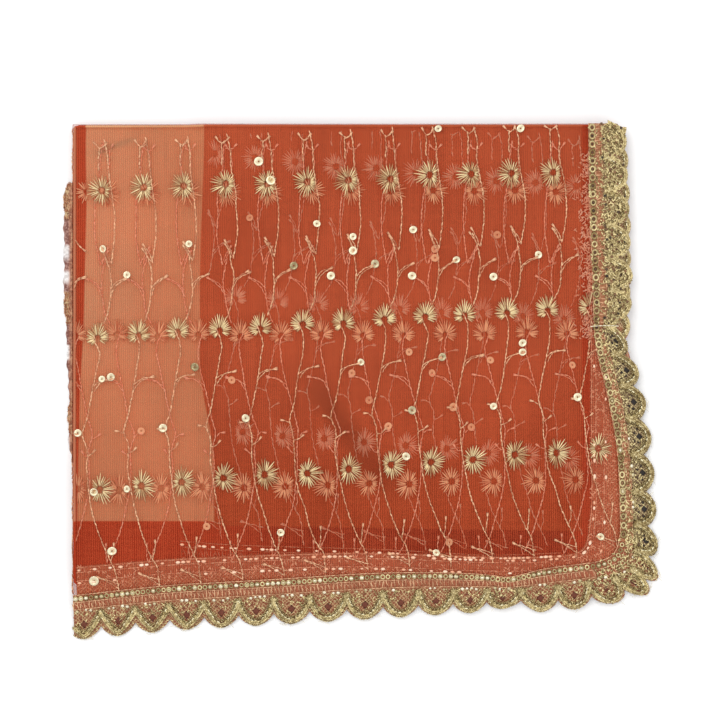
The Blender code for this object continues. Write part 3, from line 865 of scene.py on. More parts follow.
def smooth_path(points: Sequence[tuple[float, float]], spacing: float) -> tuple[Array, Array, Array]:
    """Read a smooth path at even steps.

    Args:
        points: The path's own points.
        spacing: The step.

    Returns:
        x, y and direction at the middle of each step.
    """
    path = np.asarray(points, float)
    knots = np.concatenate(((0.0,), np.cumsum(np.hypot(*np.diff(path, axis=0).T))))
    if len(path) == 2:
        dense = np.linspace(0, knots[-1], 40)
        curve = np.stack([np.interp(dense, knots, path[:, k]) for k in (0, 1)], axis=1)
    else:
        dense = np.linspace(0, knots[-1], 40 * len(path))
        curve = np.stack([smooth_through(knots, path[:, k], dense) for k in (0, 1)], axis=1)
    travel = np.concatenate(((0.0,), np.cumsum(np.hypot(*np.diff(curve, axis=0).T))))
    steps = max(int(round(travel[-1] / spacing)), 1)
    middles = (np.arange(steps) + 0.5) * travel[-1] / steps
    ahead = travel[-1] / steps * 0.45
    before, (x, y), after = (
        [np.interp(middles + shift, travel, curve[:, k]) for k in (0, 1)] for shift in (-ahead, 0.0, ahead)
    )
    return x, y, np.arctan2(after[1] - before[1], after[0] - before[0])


class Flower(Enum):
    """The two flowers of the embroidery."""

    SUN = "sun"
    HALF_SUN = "half_sun"


class MotifRow(NamedTuple):
    """One row of flowers across the packet, in millimetres, and the side where the vine passes."""

    flower: Flower
    first_x: float
    pitch: float
    left_y: float
    right_y: float
    radius: float
    vine_side: float

    def height(self, column: int) -> float:
        """Return the row's y at a column: it slopes from its left y to its right y over 12 columns."""
        return self.left_y + (self.right_y - self.left_y) * (column / 12)


class ClothEdges(NamedTuple):
    """Where a ply's embroidery ends, in metres.

    The foot runs from left to right, and the right side from above down, at SEAM_READ_AT.
    """

    left: float
    top: float
    foot: Span
    right: tuple[float, ...]


SEAM_READ_AT = (0.12, 0.03, -0.012, -0.046, -0.1)


@dataclass(frozen=True)
class Design:
    """The embroidery's layout on one ply.

    Its vine is written in millimetres from the first row's flower, for one column of the ply.
    Twigs are millimetres on the cloth, and a cut sun is a sun half lost in the left fold.
    """

    rows: tuple[MotifRow, ...]
    columns: range
    mirrored: bool
    cloth: ClothEdges
    sequins: tuple[tuple[tuple[Spangle, ...], float, float], ...]
    twigs: tuple[tuple[Span, ...], ...] = ()
    cut_sun: Span | None = None


VINE: tuple[tuple[Span, ...], ...] = (
    ((1.3, 33.0), (3.1, 22.8), (3.7, 11.0), (6.6, -6.0), (7.5, -14.1), (8.3, -28.0), (6.4, -47.1)),
    ((6.4, -47.1), (3.9, -41.6), (0.0, -35.8)),
    ((5.2, -46.6), (2.6, -41.8), (0.2, -38.0)),
    ((1.3, -38.0), (2.9, -43.4), (4.7, -48.8), (6.1, -57.4), (5.9, -67.0), (4.7, -78.0), (2.2, -85.0)),
    ((5.9, -62.9), (10.2, -58.5), (16.1, -55.8)),
    ((5.9, -67.6), (9.0, -61.2), (16.1, -55.8)),
    (
        (-4.5, -91.5), (-1.8, -97.6), (-1.0, -101.4), (-2.0, -112.5), (-3.9, -124.6), (-7.8, -144.1),
        (-9.9, -153.8), (-7.8, -161.2), (-7.2, -175.5), (-6.0, -186.4), (-3.4, -200.2), (-0.7, -210.0),
        (3.7, -223.0), (9.1, -235.1), (11.2, -239.2), (13.2, -248.1), (14.0, -258.0),
    ),
    ((-3.9, -123.5), (0.5, -120.6), (8.0, -119.0)),
    ((-3.9, -126.6), (0.4, -121.4), (8.0, -119.0)),
    ((-10.2, -155.4), (-12.8, -153.6), (-15.0, -153.4)),
    ((-7.2, -166.9), (-4.6, -166.0), (-2.0, -163.6)),
    ((9.1, -235.1), (10.0, -229.0), (10.2, -223.0)),
    ((14.3, -248.7), (7.2, -246.6), (0.5, -244.4)),
    ((13.6, -252.0), (7.0, -247.6), (0.5, -244.4)),
    ((-2.4, 13.0), (-2.6, 19.0), (-2.4, 24.0), (-2.7, 27.4)),
    ((1.4, 28.4), (-2.2, 27.2), (-5.4, 30.4)),
    ((-2.4, 26.4), (0.2, 28.0), (1.6, 30.2)),
)
FOLD_TWIGS: tuple[tuple[Span, ...], ...] = (
    ((-186.3, 61.6), (-184.0, 66.2), (-179.8, 68.0)),
    ((-186.2, 64.4), (-183.2, 67.6), (-179.2, 68.6)),
    ((-185.9, 92.8), (-182.8, 88.6), (-179.6, 85.8)),
)


class Spangle(NamedTuple):
    """A sequin's place on the cloth, in millimetres, and its size against the others."""

    x: float
    y: float
    size: float = 1.0


def spangles(*places: tuple[float, ...]) -> tuple[Spangle, ...]:
    """Return sequins from their places, and their sizes where given."""
    return tuple(Spangle(*place) for place in places)


BRIGHT_SEQUINS = spangles(
    (-5.2, 94.6), (-5.2, 85.5), (33.8, 99.1), (33.1, 69.2), (61.8, 79.6), (85.8, 68.6), (0.0, 13.3),
    (29.2, -47.8), (-168.3, 2.3, 0.85), (-162.5, 3.6), (-184.0, -32.8), (-128.7, -29.6), (-173.6, -71.2),
    (-152.1, -69.2), (155.3, -99.8), (140.4, -9.4), (-66.3, 143.3, 1.2), (-58.5, 131.0, 1.15),
    (-28.6, 103.0), (-111.8, 90.0), (-152.1, 69.9), (-19.5, 69.2), (115.0, 82.9), (104.7, 25.7),
    (104.7, 19.8), (-74.8, -23.1), (85.8, -15.3), (-161.8, -109.5, 1.25), (-173.6, -129.0, 1.3),
    (-52.0, -97.2), (-167.7, 86.8), (48.8, -110.2), (50.0, 164.6), (103.4, 164.7),
)
OLIVE_SEQUINS = spangles((9.1, 77.0), (-43.6, 75.7), (33.1, -17.9), (-107.9, 10.1), (52.6, 16.6))
UNDER_SEQUINS = spangles(
    (48.1, 86.8), (48.1, 80.9), (88.4, 95.9), (-5.9, 6.2), (31.2, 19.8), (46.1, 6.2), (83.9, 14.6),
    (5.2, -11.4), (17.6, -28.3), (59.8, -15.9), (71.5, -28.9), (57.2, -103.7), (-143.0, -31.5),
    (137.2, 11.4), (-100.1, -93.3), (-83.9, 1.6), (-72.2, 106.9),
)


class Embroidery:
    """The suns, half suns, vines and sequins of one ply."""

    vine_rows = (0.0, 89.7, 187.2)
    vine_shift = (0.0, -2.3, 1.0)

    def __init__(self, bench: Workbench, design: Design, level: HeightField, seed: int) -> None:
        """Keep the layout and start the scatters.

        Args:
            bench: Models the stamps.
            design: The layout on this ply.
            level: The face that it is sewn to.
            seed: Starts this ply's own small irregularities.
        """
        self.design = design
        self.chance = np.random.default_rng(seed)
        self.petals = Scatter(bench.petal(), level, self.on_cloth)
        self.threads = Scatter(bench.stitch(), level, self.on_cloth)
        self.sequins = Scatter(bench.sequin(), level, self.on_cloth)

    def on_cloth(self, rows: Array) -> Array:
        """Return which copies have both their ends on the ply, clear of its folds and its seams."""
        x, y, angle, length = rows.T[:4]
        reach_x, reach_y = length / 2 * np.abs(np.cos(angle)), length / 2 * np.abs(np.sin(angle))
        left, top, foot, right = self.design.cloth
        seam = foot[0] + (foot[1] - foot[0]) * (x - left) / (right[0] - left)
        end = np.interp(-y, [-place for place in SEAM_READ_AT], right)
        clear = (x - reach_x > left + 0.6 * MM) & (y + reach_y < top - 0.6 * MM)
        return clear & (y - reach_y > seam) & (x + reach_x < end)

    def row_place(self, row: MotifRow, column: int) -> Span:
        """Return a flower's middle in metres."""
        x = row.first_x + row.pitch * column + self.chance.uniform(-0.7, 0.7)
        y = row.height(column) + self.chance.uniform(-0.8, 0.8)
        return x * MM, y * MM

    def sew_sun(self, x: float, y: float, radius: float, vine_side: float) -> None:
        """Sew a full sun of satin stitches round an open middle, short on the side of the vine."""
        count = int(self.chance.integers(28, 33))
        turns = (np.arange(count) + self.chance.uniform(-0.22, 0.22, count)) * 2 * math.pi / count
        toward = np.clip(np.cos(turns) * vine_side, 0.0, 1.0) ** 1.5
        reach = radius * self.chance.uniform(0.78, 1.1, count) * (1.0 - 0.46 * toward)
        self.sew_petals(x, y, turns, reach, 1.8 * MM)

    def sew_half_sun(self, x: float, y: float, radius: float, count: int = 29) -> None:
        """Sew a fan of satin stitches above its stem, tall in the middle, with short ones at its foot."""
        spread = np.linspace(math.radians(-34), math.radians(234), count)
        turns = spread + self.chance.uniform(-0.06, 0.06, count)
        upward = np.sin(turns)
        height = np.where(upward > 0, radius, 0.46 * radius)
        reach = 1.0 / np.hypot(np.cos(turns) / (0.72 * radius), upward / height)
        self.sew_petals(x, y, turns, reach * self.chance.uniform(0.88, 1.06, count), 1.7 * MM)

    def sew_petals(self, x: float, y: float, turns: Array, reach: Array, inner: float) -> None:
        """Sew radial stitches from an inner radius out to each one's reach."""
        count = len(turns)
        start = inner * self.chance.uniform(0.85, 1.2, count)
        middle = (start + reach) / 2
        lean = turns + self.chance.uniform(-0.09, 0.09, count)
        size = (reach - start, self.chance.uniform(0.7, 1.08, count) * MM, 0.9 * MM)
        tones = self.chance.uniform(0.1, 1.0, count)
        lift = self.chance.uniform(0.15, 0.45, count) * MM
        self.petals.add(x + middle * np.cos(turns), y + middle * np.sin(turns), lean, size, tones, lift)

    def warp(self, column: int, x: Array, y: Array) -> tuple[Array, Array]:
        """Bring a vine's own millimetres to this ply's metres for one column."""
        sign = -1.0 if self.design.mirrored else 1.0
        heights = [row.height(column) for row in self.design.rows]
        starts = [row.first_x + row.pitch * column for row in self.design.rows]
        rise = np.interp(-y, self.vine_rows, heights)
        rise = np.where(y > 0, heights[0] + y, rise)
        rise = np.where(-y > self.vine_rows[2], heights[2] + y + self.vine_rows[2], rise)
        base = np.interp(-y, self.vine_rows, [s - sign * v for s, v in zip(starts, self.vine_shift)])
        return (base + sign * x) * MM, rise * MM

    def sew_vines(self, width: float, spacing: float) -> None:
        """Sew every column's vine as a run of overlapping stitches."""
        for column in self.design.columns:
            for line in VINE:
                own = np.asarray(line) + self.chance.uniform(-0.5, 0.5, (len(line), 2))
                own_width = width * (0.78 if len(line) == 3 else 1.0)
                x, y = self.warp(column, own[:, 0], own[:, 1])
                if np.all(y > PACKET.top_y - 1.5 * MM):
                    continue
                y = np.minimum(y, PACKET.top_y - 2.0 * MM)
                px, py, heading = smooth_path(list(zip(x, y)), spacing)
                count = len(px)
                px = px + self.chance.uniform(-0.14, 0.14, count) * MM
                turn = heading + 0.13 * (-1.0) ** np.arange(count) + self.chance.uniform(-0.1, 0.1, count)
                size = (spacing * 1.3, own_width * self.chance.uniform(0.75, 1.2, count), width * 0.8)
                self.threads.add(px, py, turn, size, self.chance.uniform(0.2, 0.9, count), width * 0.3)
                if len(line) == 3:
                    self.sew_leaf(px[-1], py[-1], heading[-1], width)

    def sew_leaf(self, x: float, y: float, heading: float, width: float) -> None:
        """Sew the small leaf at a twig's end."""
        for aside in (-0.24, 0.24):
            px = x + 0.9 * MM * math.cos(heading + aside)
            py = y + 0.9 * MM * math.sin(heading + aside)
            size = (3.6 * MM, width * 0.95, width)
            tone = self.chance.uniform(0.35, 0.9)
            self.threads.add(px, py, heading + aside * 0.5, size, tone, width * 0.45)

    def sew_sequins(self, diameter: float) -> None:
        """Sew the sequins that this ply carries."""
        for group, low, high in self.design.sequins:
            for spangle in group:
                size = diameter * spangle.size * self.chance.uniform(0.92, 1.12)
                turn = self.chance.uniform(0, 6.28)
                sides = (size, size * self.chance.uniform(0.86, 1.0), size * 1.6)
                tone = self.chance.uniform(low, high)
                self.sequins.add(spangle.x * MM, spangle.y * MM, turn, sides, tone, 0.75 * MM)

    def sew(self, width: float, spacing: float) -> None:
        """Sew the whole ply."""
        for row in self.design.rows:
            for column in self.design.columns:
                x, y = self.row_place(row, column)
                if row.flower is Flower.SUN:
                    self.sew_sun(x, y, row.radius * MM, row.vine_side)
                else:
                    self.sew_half_sun(x, y - 3.4 * MM, row.radius * MM)
        self.sew_vines(width, spacing)
        for twig in self.design.twigs:
            px, py, heading = smooth_path([(x * MM, y * MM) for x, y in twig], spacing)
            size = (spacing * 1.3, width * 1.2, width * 0.8)
            self.threads.add(px, py, heading, size, self.chance.uniform(0.2, 0.9, len(px)), width * 0.3)
            self.sew_leaf(px[-1], py[-1], heading[-1], width)
        if self.design.cut_sun is not None:
            turns = np.linspace(1.7, 4.5, 13) + self.chance.uniform(-0.05, 0.05, 13)
            reach = 9.0 * MM * self.chance.uniform(0.7, 1.0, 13)
            self.sew_petals(*self.design.cut_sun, turns, reach, 2.0 * MM)
        self.sew_sequins(5.0 * MM)


TOP_DESIGN = Design(
    (
        MotifRow(Flower.SUN, -167.7, 26.6, 125.1, 138.1, 10.4, 1.0),
        MotifRow(Flower.HALF_SUN, -171.6, 26.6, 32.8, 51.0, 11.4, 0.0),
        MotifRow(Flower.SUN, -170.3, 27.0, -69.2, -42.6, 10.6, -1.0),
    ),
    range(0, 13),
    False,
    ClothEdges(PACKET.left_x, PACKET.top_y, (-0.138, -0.114), (0.148, 0.153, 0.16, 0.1658, 0.1662)),
    ((BRIGHT_SEQUINS, 0.74, 1.0), (OLIVE_SEQUINS, 0.15, 0.5)),
    twigs=FOLD_TWIGS,
)
SECOND_DESIGN = Design(
    (
        MotifRow(Flower.SUN, -166.4, 26.6, 123.8, 124.4, 10.2, -1.0),
        MotifRow(Flower.HALF_SUN, -158.6, 26.6, 33.4, 35.4, 11.2, 0.0),
        MotifRow(Flower.SUN, -157.1, 27.0, -69.5, -62.5, 10.4, 1.0),
    ),
    range(-1, 12),
    True,
    ClothEdges(-0.1872, 0.166, (-0.119, -0.111), (0.147, 0.1485, 0.1485, 0.1485, 0.1485)),
    ((UNDER_SEQUINS, 0.4, 1.0),),
    cut_sun=(-0.178, 0.124),
)
THIRD_DESIGN = Design(
    (
        MotifRow(Flower.SUN, -94.9, 26.1, 147.9, 120.1, 9.8, 1.0),
        MotifRow(Flower.HALF_SUN, -107.9, 26.6, 58.2, 40.3, 11.0, 0.0),
        MotifRow(Flower.SUN, -104.0, 26.6, -30.8, -56.4, 9.8, -1.0),
    ),
    range(0, 10),
    False,
    ClothEdges(-0.101, 0.165, (-0.115, -0.108), (0.144,) * 5),
    (),
)


class FoldedNet:
    """The plies of net: the two that show as sheets, and the hidden ones as one layered stack."""

    def __init__(self) -> None:
        """Keep the finishes, and how far the hidden plies may reach into the two folds, in millimetres."""
        self.room_left = (PACKET.hidden_left - PACKET.left_x) / MM - 0.3
        self.room_top = (PACKET.top_y - PACKET.hidden_top) / MM - 0.3
        self.top_finish = NetFinish("sheer_top_net", (0.29, 0.03, 0.009), (0.65, 0.108, 0.04), 0.7)
        self.second_finish = NetFinish("sheer_second_net", (0.35, 0.034, 0.01), (0.57, 0.088, 0.032), 0.7)

    def turned_lines(self, depth: float, radius: float) -> tuple[Array, Array]:
        """Return each turned line's inset from the fold and its drop, from the lower edge up."""
        arc = np.linspace(0.0, math.pi / 2, 6)
        inset = np.concatenate(((PACKET.floor_gap, 0.0), radius * (1 - np.cos(arc))))
        drop = np.concatenate(((depth, (depth + radius) / 2), radius * (1 - np.sin(arc))))
        return inset, drop

    def ply_grid(self, edge: Border, left_x: float, top_y: float, columns: int, rows: int) -> Array:
        """Return x and y of a grid over a ply, inside its two seams and its two folds."""
        s, t = np.linspace(0.0, 1.0, columns), np.linspace(0.0, 1.0, rows)
        bottom = np.stack(edge.place(edge.last + (edge.corner - edge.last) * s, np.zeros(columns)), axis=-1)
        right = np.stack(edge.place(edge.corner + (edge.first - edge.corner) * t, np.zeros(rows)), axis=-1)
        bottom[:, 0] = np.maximum(bottom[:, 0], left_x)
        right[:, 1] = np.minimum(right[:, 1], top_y)
        left = np.stack((np.full(rows, left_x), bottom[0, 1] + (top_y - bottom[0, 1]) * t), axis=-1)
        upper = np.stack((left_x + (right[-1, 0] - left_x) * s, np.full(columns, top_y)), axis=-1)
        return np.moveaxis(span_sides(bottom, right, upper, left), -1, 0)

    def build_top(self) -> Piece:
        """Return the uppermost ply, which turns down over the long fold and the left fold."""
        inset, drop_left = self.turned_lines(4.6 * MM, 1.1 * MM)
        inset_top, drop_top = self.turned_lines(3.4 * MM, 1.1 * MM)
        x, y = self.ply_grid(TOP_EDGE, PACKET.left_x + inset[-1], PACKET.top_y - inset_top[-1], 110, 96)
        turns = len(inset) - 1
        x = np.concatenate((np.repeat(x[:, :1], turns, axis=1), x), axis=1)
        y = np.concatenate((np.repeat(y[:, :1], turns, axis=1), y), axis=1)
        x[:, :turns] = PACKET.left_x + inset[:-1]
        x = np.concatenate((x, np.repeat(x[-1:], turns, axis=0)))
        y = np.concatenate((y, np.repeat(y[-1:], turns, axis=0)))
        y[-turns:] = (PACKET.top_y - inset_top[:-1][::-1])[:, None]
        side = np.zeros_like(x)
        side[:, : turns + 1] = drop_left
        over = np.zeros_like(x)
        over[-turns - 1 :] = drop_top[::-1][:, None]
        face = PACKET.top(x, y)
        room = np.clip((face - 1.3 * MM) / (4.5 * MM), 0.0, 1.0) * 0.85 + 0.15
        z = np.maximum(face - np.hypot(side, over) * room, 0.4 * MM)
        piece = self.grid_piece("top_net", (x, y, z), self.top_finish)
        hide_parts("top_ply")
        return piece

    def build_second(self) -> Piece:
        """Return the ply below, which shows through the uppermost one."""
        x, y = self.ply_grid(SECOND_EDGE, -185.4 * MM, 166.2 * MM, 90, 80)
        piece = self.grid_piece("second_net", (x, y, PACKET.second(x, y)), self.second_finish)
        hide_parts("second_ply")
        return piece

    def grid_piece(self, name: str, axes: tuple[Array, Array, Array], finish: NetFinish) -> Piece:
        """Return a sheet of net from a grid of points."""
        faces = grid_faces(np.arange(axes[0].size).reshape(axes[0].shape))
        return mesh_piece(name, axes, faces, finish.build())

    def outline(self, across: int, down: int) -> tuple[Array, Array]:
        """Return the hidden plies' edge, counter-clockwise from the lower left, and its outward directions.

        Args:
            across: How many steps the lower and the upper side have.
            down: How many the left and the right side have.
        """
        corners = np.array((
            (PACKET.hidden_left, PACKET.hidden_bottom_left),
            (PACKET.hidden_right_lower, PACKET.hidden_bottom_right),
            (PACKET.hidden_right_upper, PACKET.hidden_top),
            (PACKET.hidden_left, PACKET.hidden_top),
        ))
        blunt = (0.8 * MM, 2.0 * MM, 0.8 * MM, 0.4 * MM)
        sides = []
        for side, steps in enumerate((across, down, across, down)):
            start, span = corners[side], corners[(side + 1) % 4] - corners[side]
            ux, uy = span / np.linalg.norm(span)
            points = start + span * (np.arange(steps) / steps)[:, None]
            points[0] += np.array((ux - uy, uy + ux)) * blunt[side]
            sides.append(points)
        edge = np.concatenate(sides)
        right = slice(across + 1, across + down)
        edge[right, 0] = PACKET.hidden_right(edge[right, 1])
        along = np.roll(edge, -1, axis=0) - np.roll(edge, 1, axis=0)
        along /= np.linalg.norm(along, axis=1)[:, None]
        return edge, np.stack((along[:, 1], -along[:, 0]), axis=1)

    def cap(self, rim: Array, across: int, down: int, first: int) -> tuple[Array, list[tuple[int, ...]]]:
        """Return the inner points and the faces of the upper face, on a grid that starts at the rim.

        Args:
            rim: The rim's points.
            across: The steps of its lower and upper side.
            down: The steps of its left and right side.
            first: The number of the rim's first point.
        """
        total = 2 * (across + down)
        lower = rim[: across + 1]
        right = rim[across : across + down + 1]
        upper = rim[across + down : 2 * across + down + 1][::-1]
        left = np.concatenate((rim[2 * across + down :], rim[:1]))[::-1]
        grid = span_sides(lower, right, upper, left)
        number = np.empty((down + 1, across + 1), int)
        number[0] = first + np.arange(across + 1)
        number[:, -1] = first + across + np.arange(down + 1)
        number[-1] = first + across + down + np.arange(across + 1)[::-1]
        number[1:, 0] = first + (total - np.arange(1, down + 1))
        inner = grid[1:-1, 1:-1].reshape(-1, 2)
        number[1:-1, 1:-1] = first + total + np.arange(len(inner)).reshape(down - 1, across - 1)
        points = np.column_stack((inner, PACKET.hidden(inner[:, 0], inner[:, 1])))
        return points, [tuple(face) for face in grid_faces(number)]

    def build_stack(self) -> Piece:
        """Return the hidden plies: eight folded or laced edges over each other, and one upper face."""
        across, down = 112, 94
        edge, out = self.outline(across, down)
        chance = np.random.default_rng(8)
        count = len(edge)
        level = PACKET.hidden(edge[:, 0] - out[:, 0] * 0.0012, edge[:, 1] - out[:, 1] * 0.0012)
        travel = np.arange(count) * 3.2 * MM
        plies = 8
        rings = [np.column_stack((edge - out * 1.0 * MM, np.zeros(count)))]
        facing = np.stack((-out[:, 0], out[:, 1], out[:, 0], -out[:, 1])).clip(0) ** 2
        for ply in range(plies):
            side_shift = chance.uniform(-1.5, 0.3, 4)
            if ply > 3:
                side_shift[:2] = self.room_left, self.room_top
            stand = (side_shift[:, None] * facing).sum(0) * MM
            ripple = 0.25 * MM * np.sin(travel / (9 * MM) + ply * 1.7)
            stand = stand + ripple * (1.0 if ply <= 3 else facing[2:].sum(0))
            for share, reach in ((0.12, -0.45), (0.5, 0.0), (0.88, -0.45)):
                ring = edge + out * (stand + reach * MM)[:, None]
                rings.append(np.column_stack((ring, level * (ply + share) / plies)))
        rim_shift = facing[0] * self.room_left + facing[1] * self.room_top - facing[2:].sum(0) * 1.2
        rim = edge + out * (rim_shift - 0.15)[:, None] * MM
        rings.append(np.column_stack((rim, level)))
        folded = np.clip(facing[0] + facing[1], 0, 1)
        for inset, raised in ((0.2, 0.94), (0.5, 1.0), (1.45, 1.0), (1.6, 0.0)):
            ring = edge + out * (rim_shift - 0.15 - inset)[:, None] * MM
            lip = PACKET.top(ring[:, 0], ring[:, 1]) - 0.55 * MM
            rings.append(np.column_stack((ring, level + (lip - level) * folded * raised)))
        rim = rings[-1][:, :2]
        number = np.arange(len(rings))[:, None] * count + np.arange(count + 1) % count
        faces = [tuple(reversed(range(count)))] + [tuple(face) for face in grid_faces(number)]
        last = (len(rings) - 1) * count
        inner, capped = self.cap(rim, across, down, last)
        points = np.concatenate(rings + [inner])
        piece = mesh_piece("folded_plies", tuple(points.T), faces + capped, StackFinish().build())
        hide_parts("hidden_layers")
        return piece

    def build(self) -> list[Piece]:
        """Build the plies and return them."""
        pieces = [self.build_stack(), self.build_second(), self.build_top()]
        return pieces


class ThreadRun(NamedTuple):
    """Rows of stitches along the lace, each at its share of the width.

    Length and width are a stitch's, in millimetres, and sway is how far it may turn, in radians.
    """

    shares: tuple[float, ...]
    length: float
    width: float
    sway: float
    tones: Span
    pitch: float = 2.6


@dataclass
class LaceStretch:
    """A stretch of one border's lace: its net ground, header, ladder, cords and rosettes.

    A place on it is a number of scallops and a share of the lace's width. Up to the scallop called
    bunched the end lace is crowded, and its header and its lattice show less.
    """

    node: str
    edge: Border
    first: float
    last: float
    ringed: bool
    bench: Workbench
    seed: int
    pieces: list[Piece] = field(default_factory=list)
    bunched: float = 6.3
    header: float = 0.085
    inner_row: float = 0.37
    peak: float = 0.47
    hole: float = 0.685
    hole_size: Span = (0.11, 0.095)
    width_mm: float = 28.0
    cut_width: float = 0.0265

    def chance(self, part: int) -> Chance:
        """Return the random draws of one part of this stretch."""
        return np.random.default_rng(self.seed + part)

    def scatter(self, stamp: Stamp) -> Scatter:
        """Start copies of a stamp on the lace's own face."""
        return Scatter(stamp, self.edge.level)

    def keep(self, scatter: Scatter, part: str, finish: Material, smooth: bool = True) -> None:
        """Gather the copies into this stretch's piece for that part."""
        self.pieces.append(scatter.build(f"{self.node}_worked_{part}", finish, smooth))

    def from_middle(self, scallop: Array) -> Array:
        """Return how far a place is from its scallop's middle, up to 0.5 at a valley."""
        return np.abs((scallop + self.edge.phase) % 1.0 - 0.5)

    def heading(self, scallop: Array, share: Array, step: float = 0.02) -> Array:
        """Return the direction along the lace."""
        ax, ay = self.edge.place(np.asarray(scallop) - step, share)
        bx, by = self.edge.place(np.asarray(scallop) + step, share)
        return np.arctan2(by - ay, bx - ax)

    def put(
        self, scatter: Scatter, scallop: Array, share: Number, turn: Number, size: Sides, tone: Number,
        lift: float,
    ) -> None:
        """Place copies by scallop and share.

        Args:
            scatter: What they are added to.
            scallop: Their numbers of scallops.
            share: Their shares of the width.
            turn: How each one is turned from the lace's own direction.
            size: Length, width and height in millimetres.
            tone: Each one's own shade.
            lift: How far their middles are above the net, in millimetres.
        """
        scallop = np.asarray(scallop, float)
        share = np.broadcast_to(np.asarray(share, float), scallop.shape)
        x, y = self.edge.place(scallop, share)
        angle = self.heading(scallop, share) + turn
        size = tuple(np.multiply(side, MM) for side in size)
        scatter.add(x, y, angle, size, tone, lift * MM + self.edge.ruffle(scallop, share))

    def net_columns(self) -> Array:
        """Return the numbers of scallops where the net's columns of points run."""
        places = np.array((0.0, 0.1, 0.2, 0.3, 0.39, 0.445, 0.5, 0.555, 0.61, 0.7, 0.8, 0.9))
        wholes = np.arange(math.floor(self.first) - 1, math.ceil(self.last) + 2)
        numbers = np.sort((wholes[:, None] + places[None, :]).ravel() - self.edge.phase)
        inside = (numbers > self.first + 0.03) & (numbers < self.last - 0.03)
        return np.concatenate(((self.first,), numbers[inside], (self.last,)))

    def build_ground(self, finish: LaceGroundFinish, holes: bool) -> None:
        """Build the scalloped net, with a diamond hole in each scallop if it has holes."""
        numbers = self.net_columns()
        valley = np.array((0.0, 0.08, 0.16, 0.22, 0.26, 0.285, 0.31, 0.335, 0.36, 0.45, 0.6, 0.76))
        tip = np.array((0.0, 0.1, 0.22, 0.4, 0.59, 0.6375, 0.685, 0.7325, 0.78, 0.86, 0.93, 1.0))
        share = valley[:, None] + (tip - valley)[:, None] * self.edge.wave(numbers)[None, :]
        grid = np.broadcast_to(numbers, share.shape)
        x, y = self.edge.place(grid, share)
        z = self.edge.level(x, y) + self.edge.ruffle(grid, share) - 0.15 * MM
        z = np.maximum(z, PACKET.floor_gap)
        columns = len(numbers)
        index = np.arange(x.size).reshape(x.shape)
        aside, away = self.from_middle(numbers), np.abs(tip - self.hole)
        faces: list[tuple[int, ...]] = []
        for line in range(len(tip) - 1):
            for c in range(columns - 1):
                a, b = index[line, c], index[line, c + 1]
                d, e = index[line + 1, c], index[line + 1, c + 1]
                rising = ((numbers[c] + self.edge.phase) % 1.0 < 0.5) == (tip[line] < 0.68)
                for triangle in ((a, b, d), (b, e, d)) if rising else ((a, b, e), (a, e, d)):
                    lines, at = np.divmod(np.array(triangle), columns)
                    size = aside[at].mean() / self.hole_size[0] + away[lines].mean() / self.hole_size[1]
                    if not holes or size > 1.0:
                        faces.append(tuple(reversed(triangle)))
        piece = mesh_piece(self.node + "_worked_net", (x, y, z), faces, finish.build())
        face_up(piece)
        travel = np.interp(grid, self.edge.table, self.edge.travel) / MM
        uv = np.stack((travel, share * self.width_mm), axis=-1).reshape(-1, 2)
        loops = np.empty(len(piece.data.loops), np.int32)
        piece.data.loops.foreach_get("vertex_index", loops)
        piece.data.uv_layers.new(name="lace").data.foreach_set("uv", uv[loops].ravel())
        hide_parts(self.node)
        self.pieces.append(piece)

    def build_header(self, finish: Material, thread: Material) -> None:
        """Build the header: a chain of rings, bright beads in some, and beads between the cords' peaks."""
        chance = self.chance(0)
        pitch, wide = (5.4, 4.5) if self.ringed else (3.4, 3.7)
        rings = self.scatter(self.bench.ring())
        numbers = self.edge.spaced(self.first, self.last, pitch * MM)
        tones = np.where(numbers < self.bunched, 0.1, 0.2) + chance.uniform(0.0, 0.5, len(numbers))
        girth = chance.uniform(0.92, 1.06, len(numbers))
        self.put(rings, numbers, self.header, 0.0, (pitch * girth, wide * girth, 2.4), tones, 0.5)
        self.keep(rings, "rings", thread)
        beads = self.scatter(self.bench.bead())
        kept = np.where(numbers < self.bunched, 0.0, 0.16 if self.ringed else 0.5)
        filled = numbers[chance.random(len(numbers)) < kept]
        size = chance.uniform(1.5, 2.4, len(filled))
        tones = chance.uniform(0.2, 0.9, len(filled))
        self.put(beads, filled, self.header, 0.0, (size * 1.45, size, size * 0.6), tones, 0.9)
        inner = self.edge.spaced(self.first, self.last, 3.0 * MM)
        kept = 0.12 if self.ringed else 0.7
        between = (self.from_middle(inner) < 0.3) & (inner > self.bunched)
        inner = inner[between & (chance.random(len(inner)) < kept)]
        size = 2.0 * chance.uniform(0.7, 1.2, len(inner))
        share = self.inner_row + chance.uniform(-0.02, 0.03, len(inner))
        tones = chance.uniform(0.2, 1.0, len(inner))
        self.put(beads, inner, share, 0.0, (size * 1.2, size, size * 0.6), tones, 0.5)
        self.keep(beads, "beads", finish, smooth=False)

    def build_under_header(self, finish: Material) -> None:
        """Build the header's few bright beads, which press up through the ply above."""
        chance = self.chance(0)
        beads = Scatter(self.bench.bead(), PACKET.top)
        thinned = 1.0 if self.last > 20 else 0.6
        for share, pitch, kept in ((self.header, 3.4, 0.5), (self.inner_row, 4.6, 0.35)):
            numbers = self.edge.spaced(max(self.first, 6.8), self.last, pitch * MM)
            numbers = numbers[chance.random(len(numbers)) < kept * thinned]
            size = chance.uniform(1.5, 2.4, len(numbers))
            tones = chance.uniform(0.0, 0.6, len(numbers))
            self.put(beads, numbers, share, 0.0, (size * 1.5, size * 0.9, size * 0.6), tones, 0.15)
        self.keep(beads, "beads", finish)

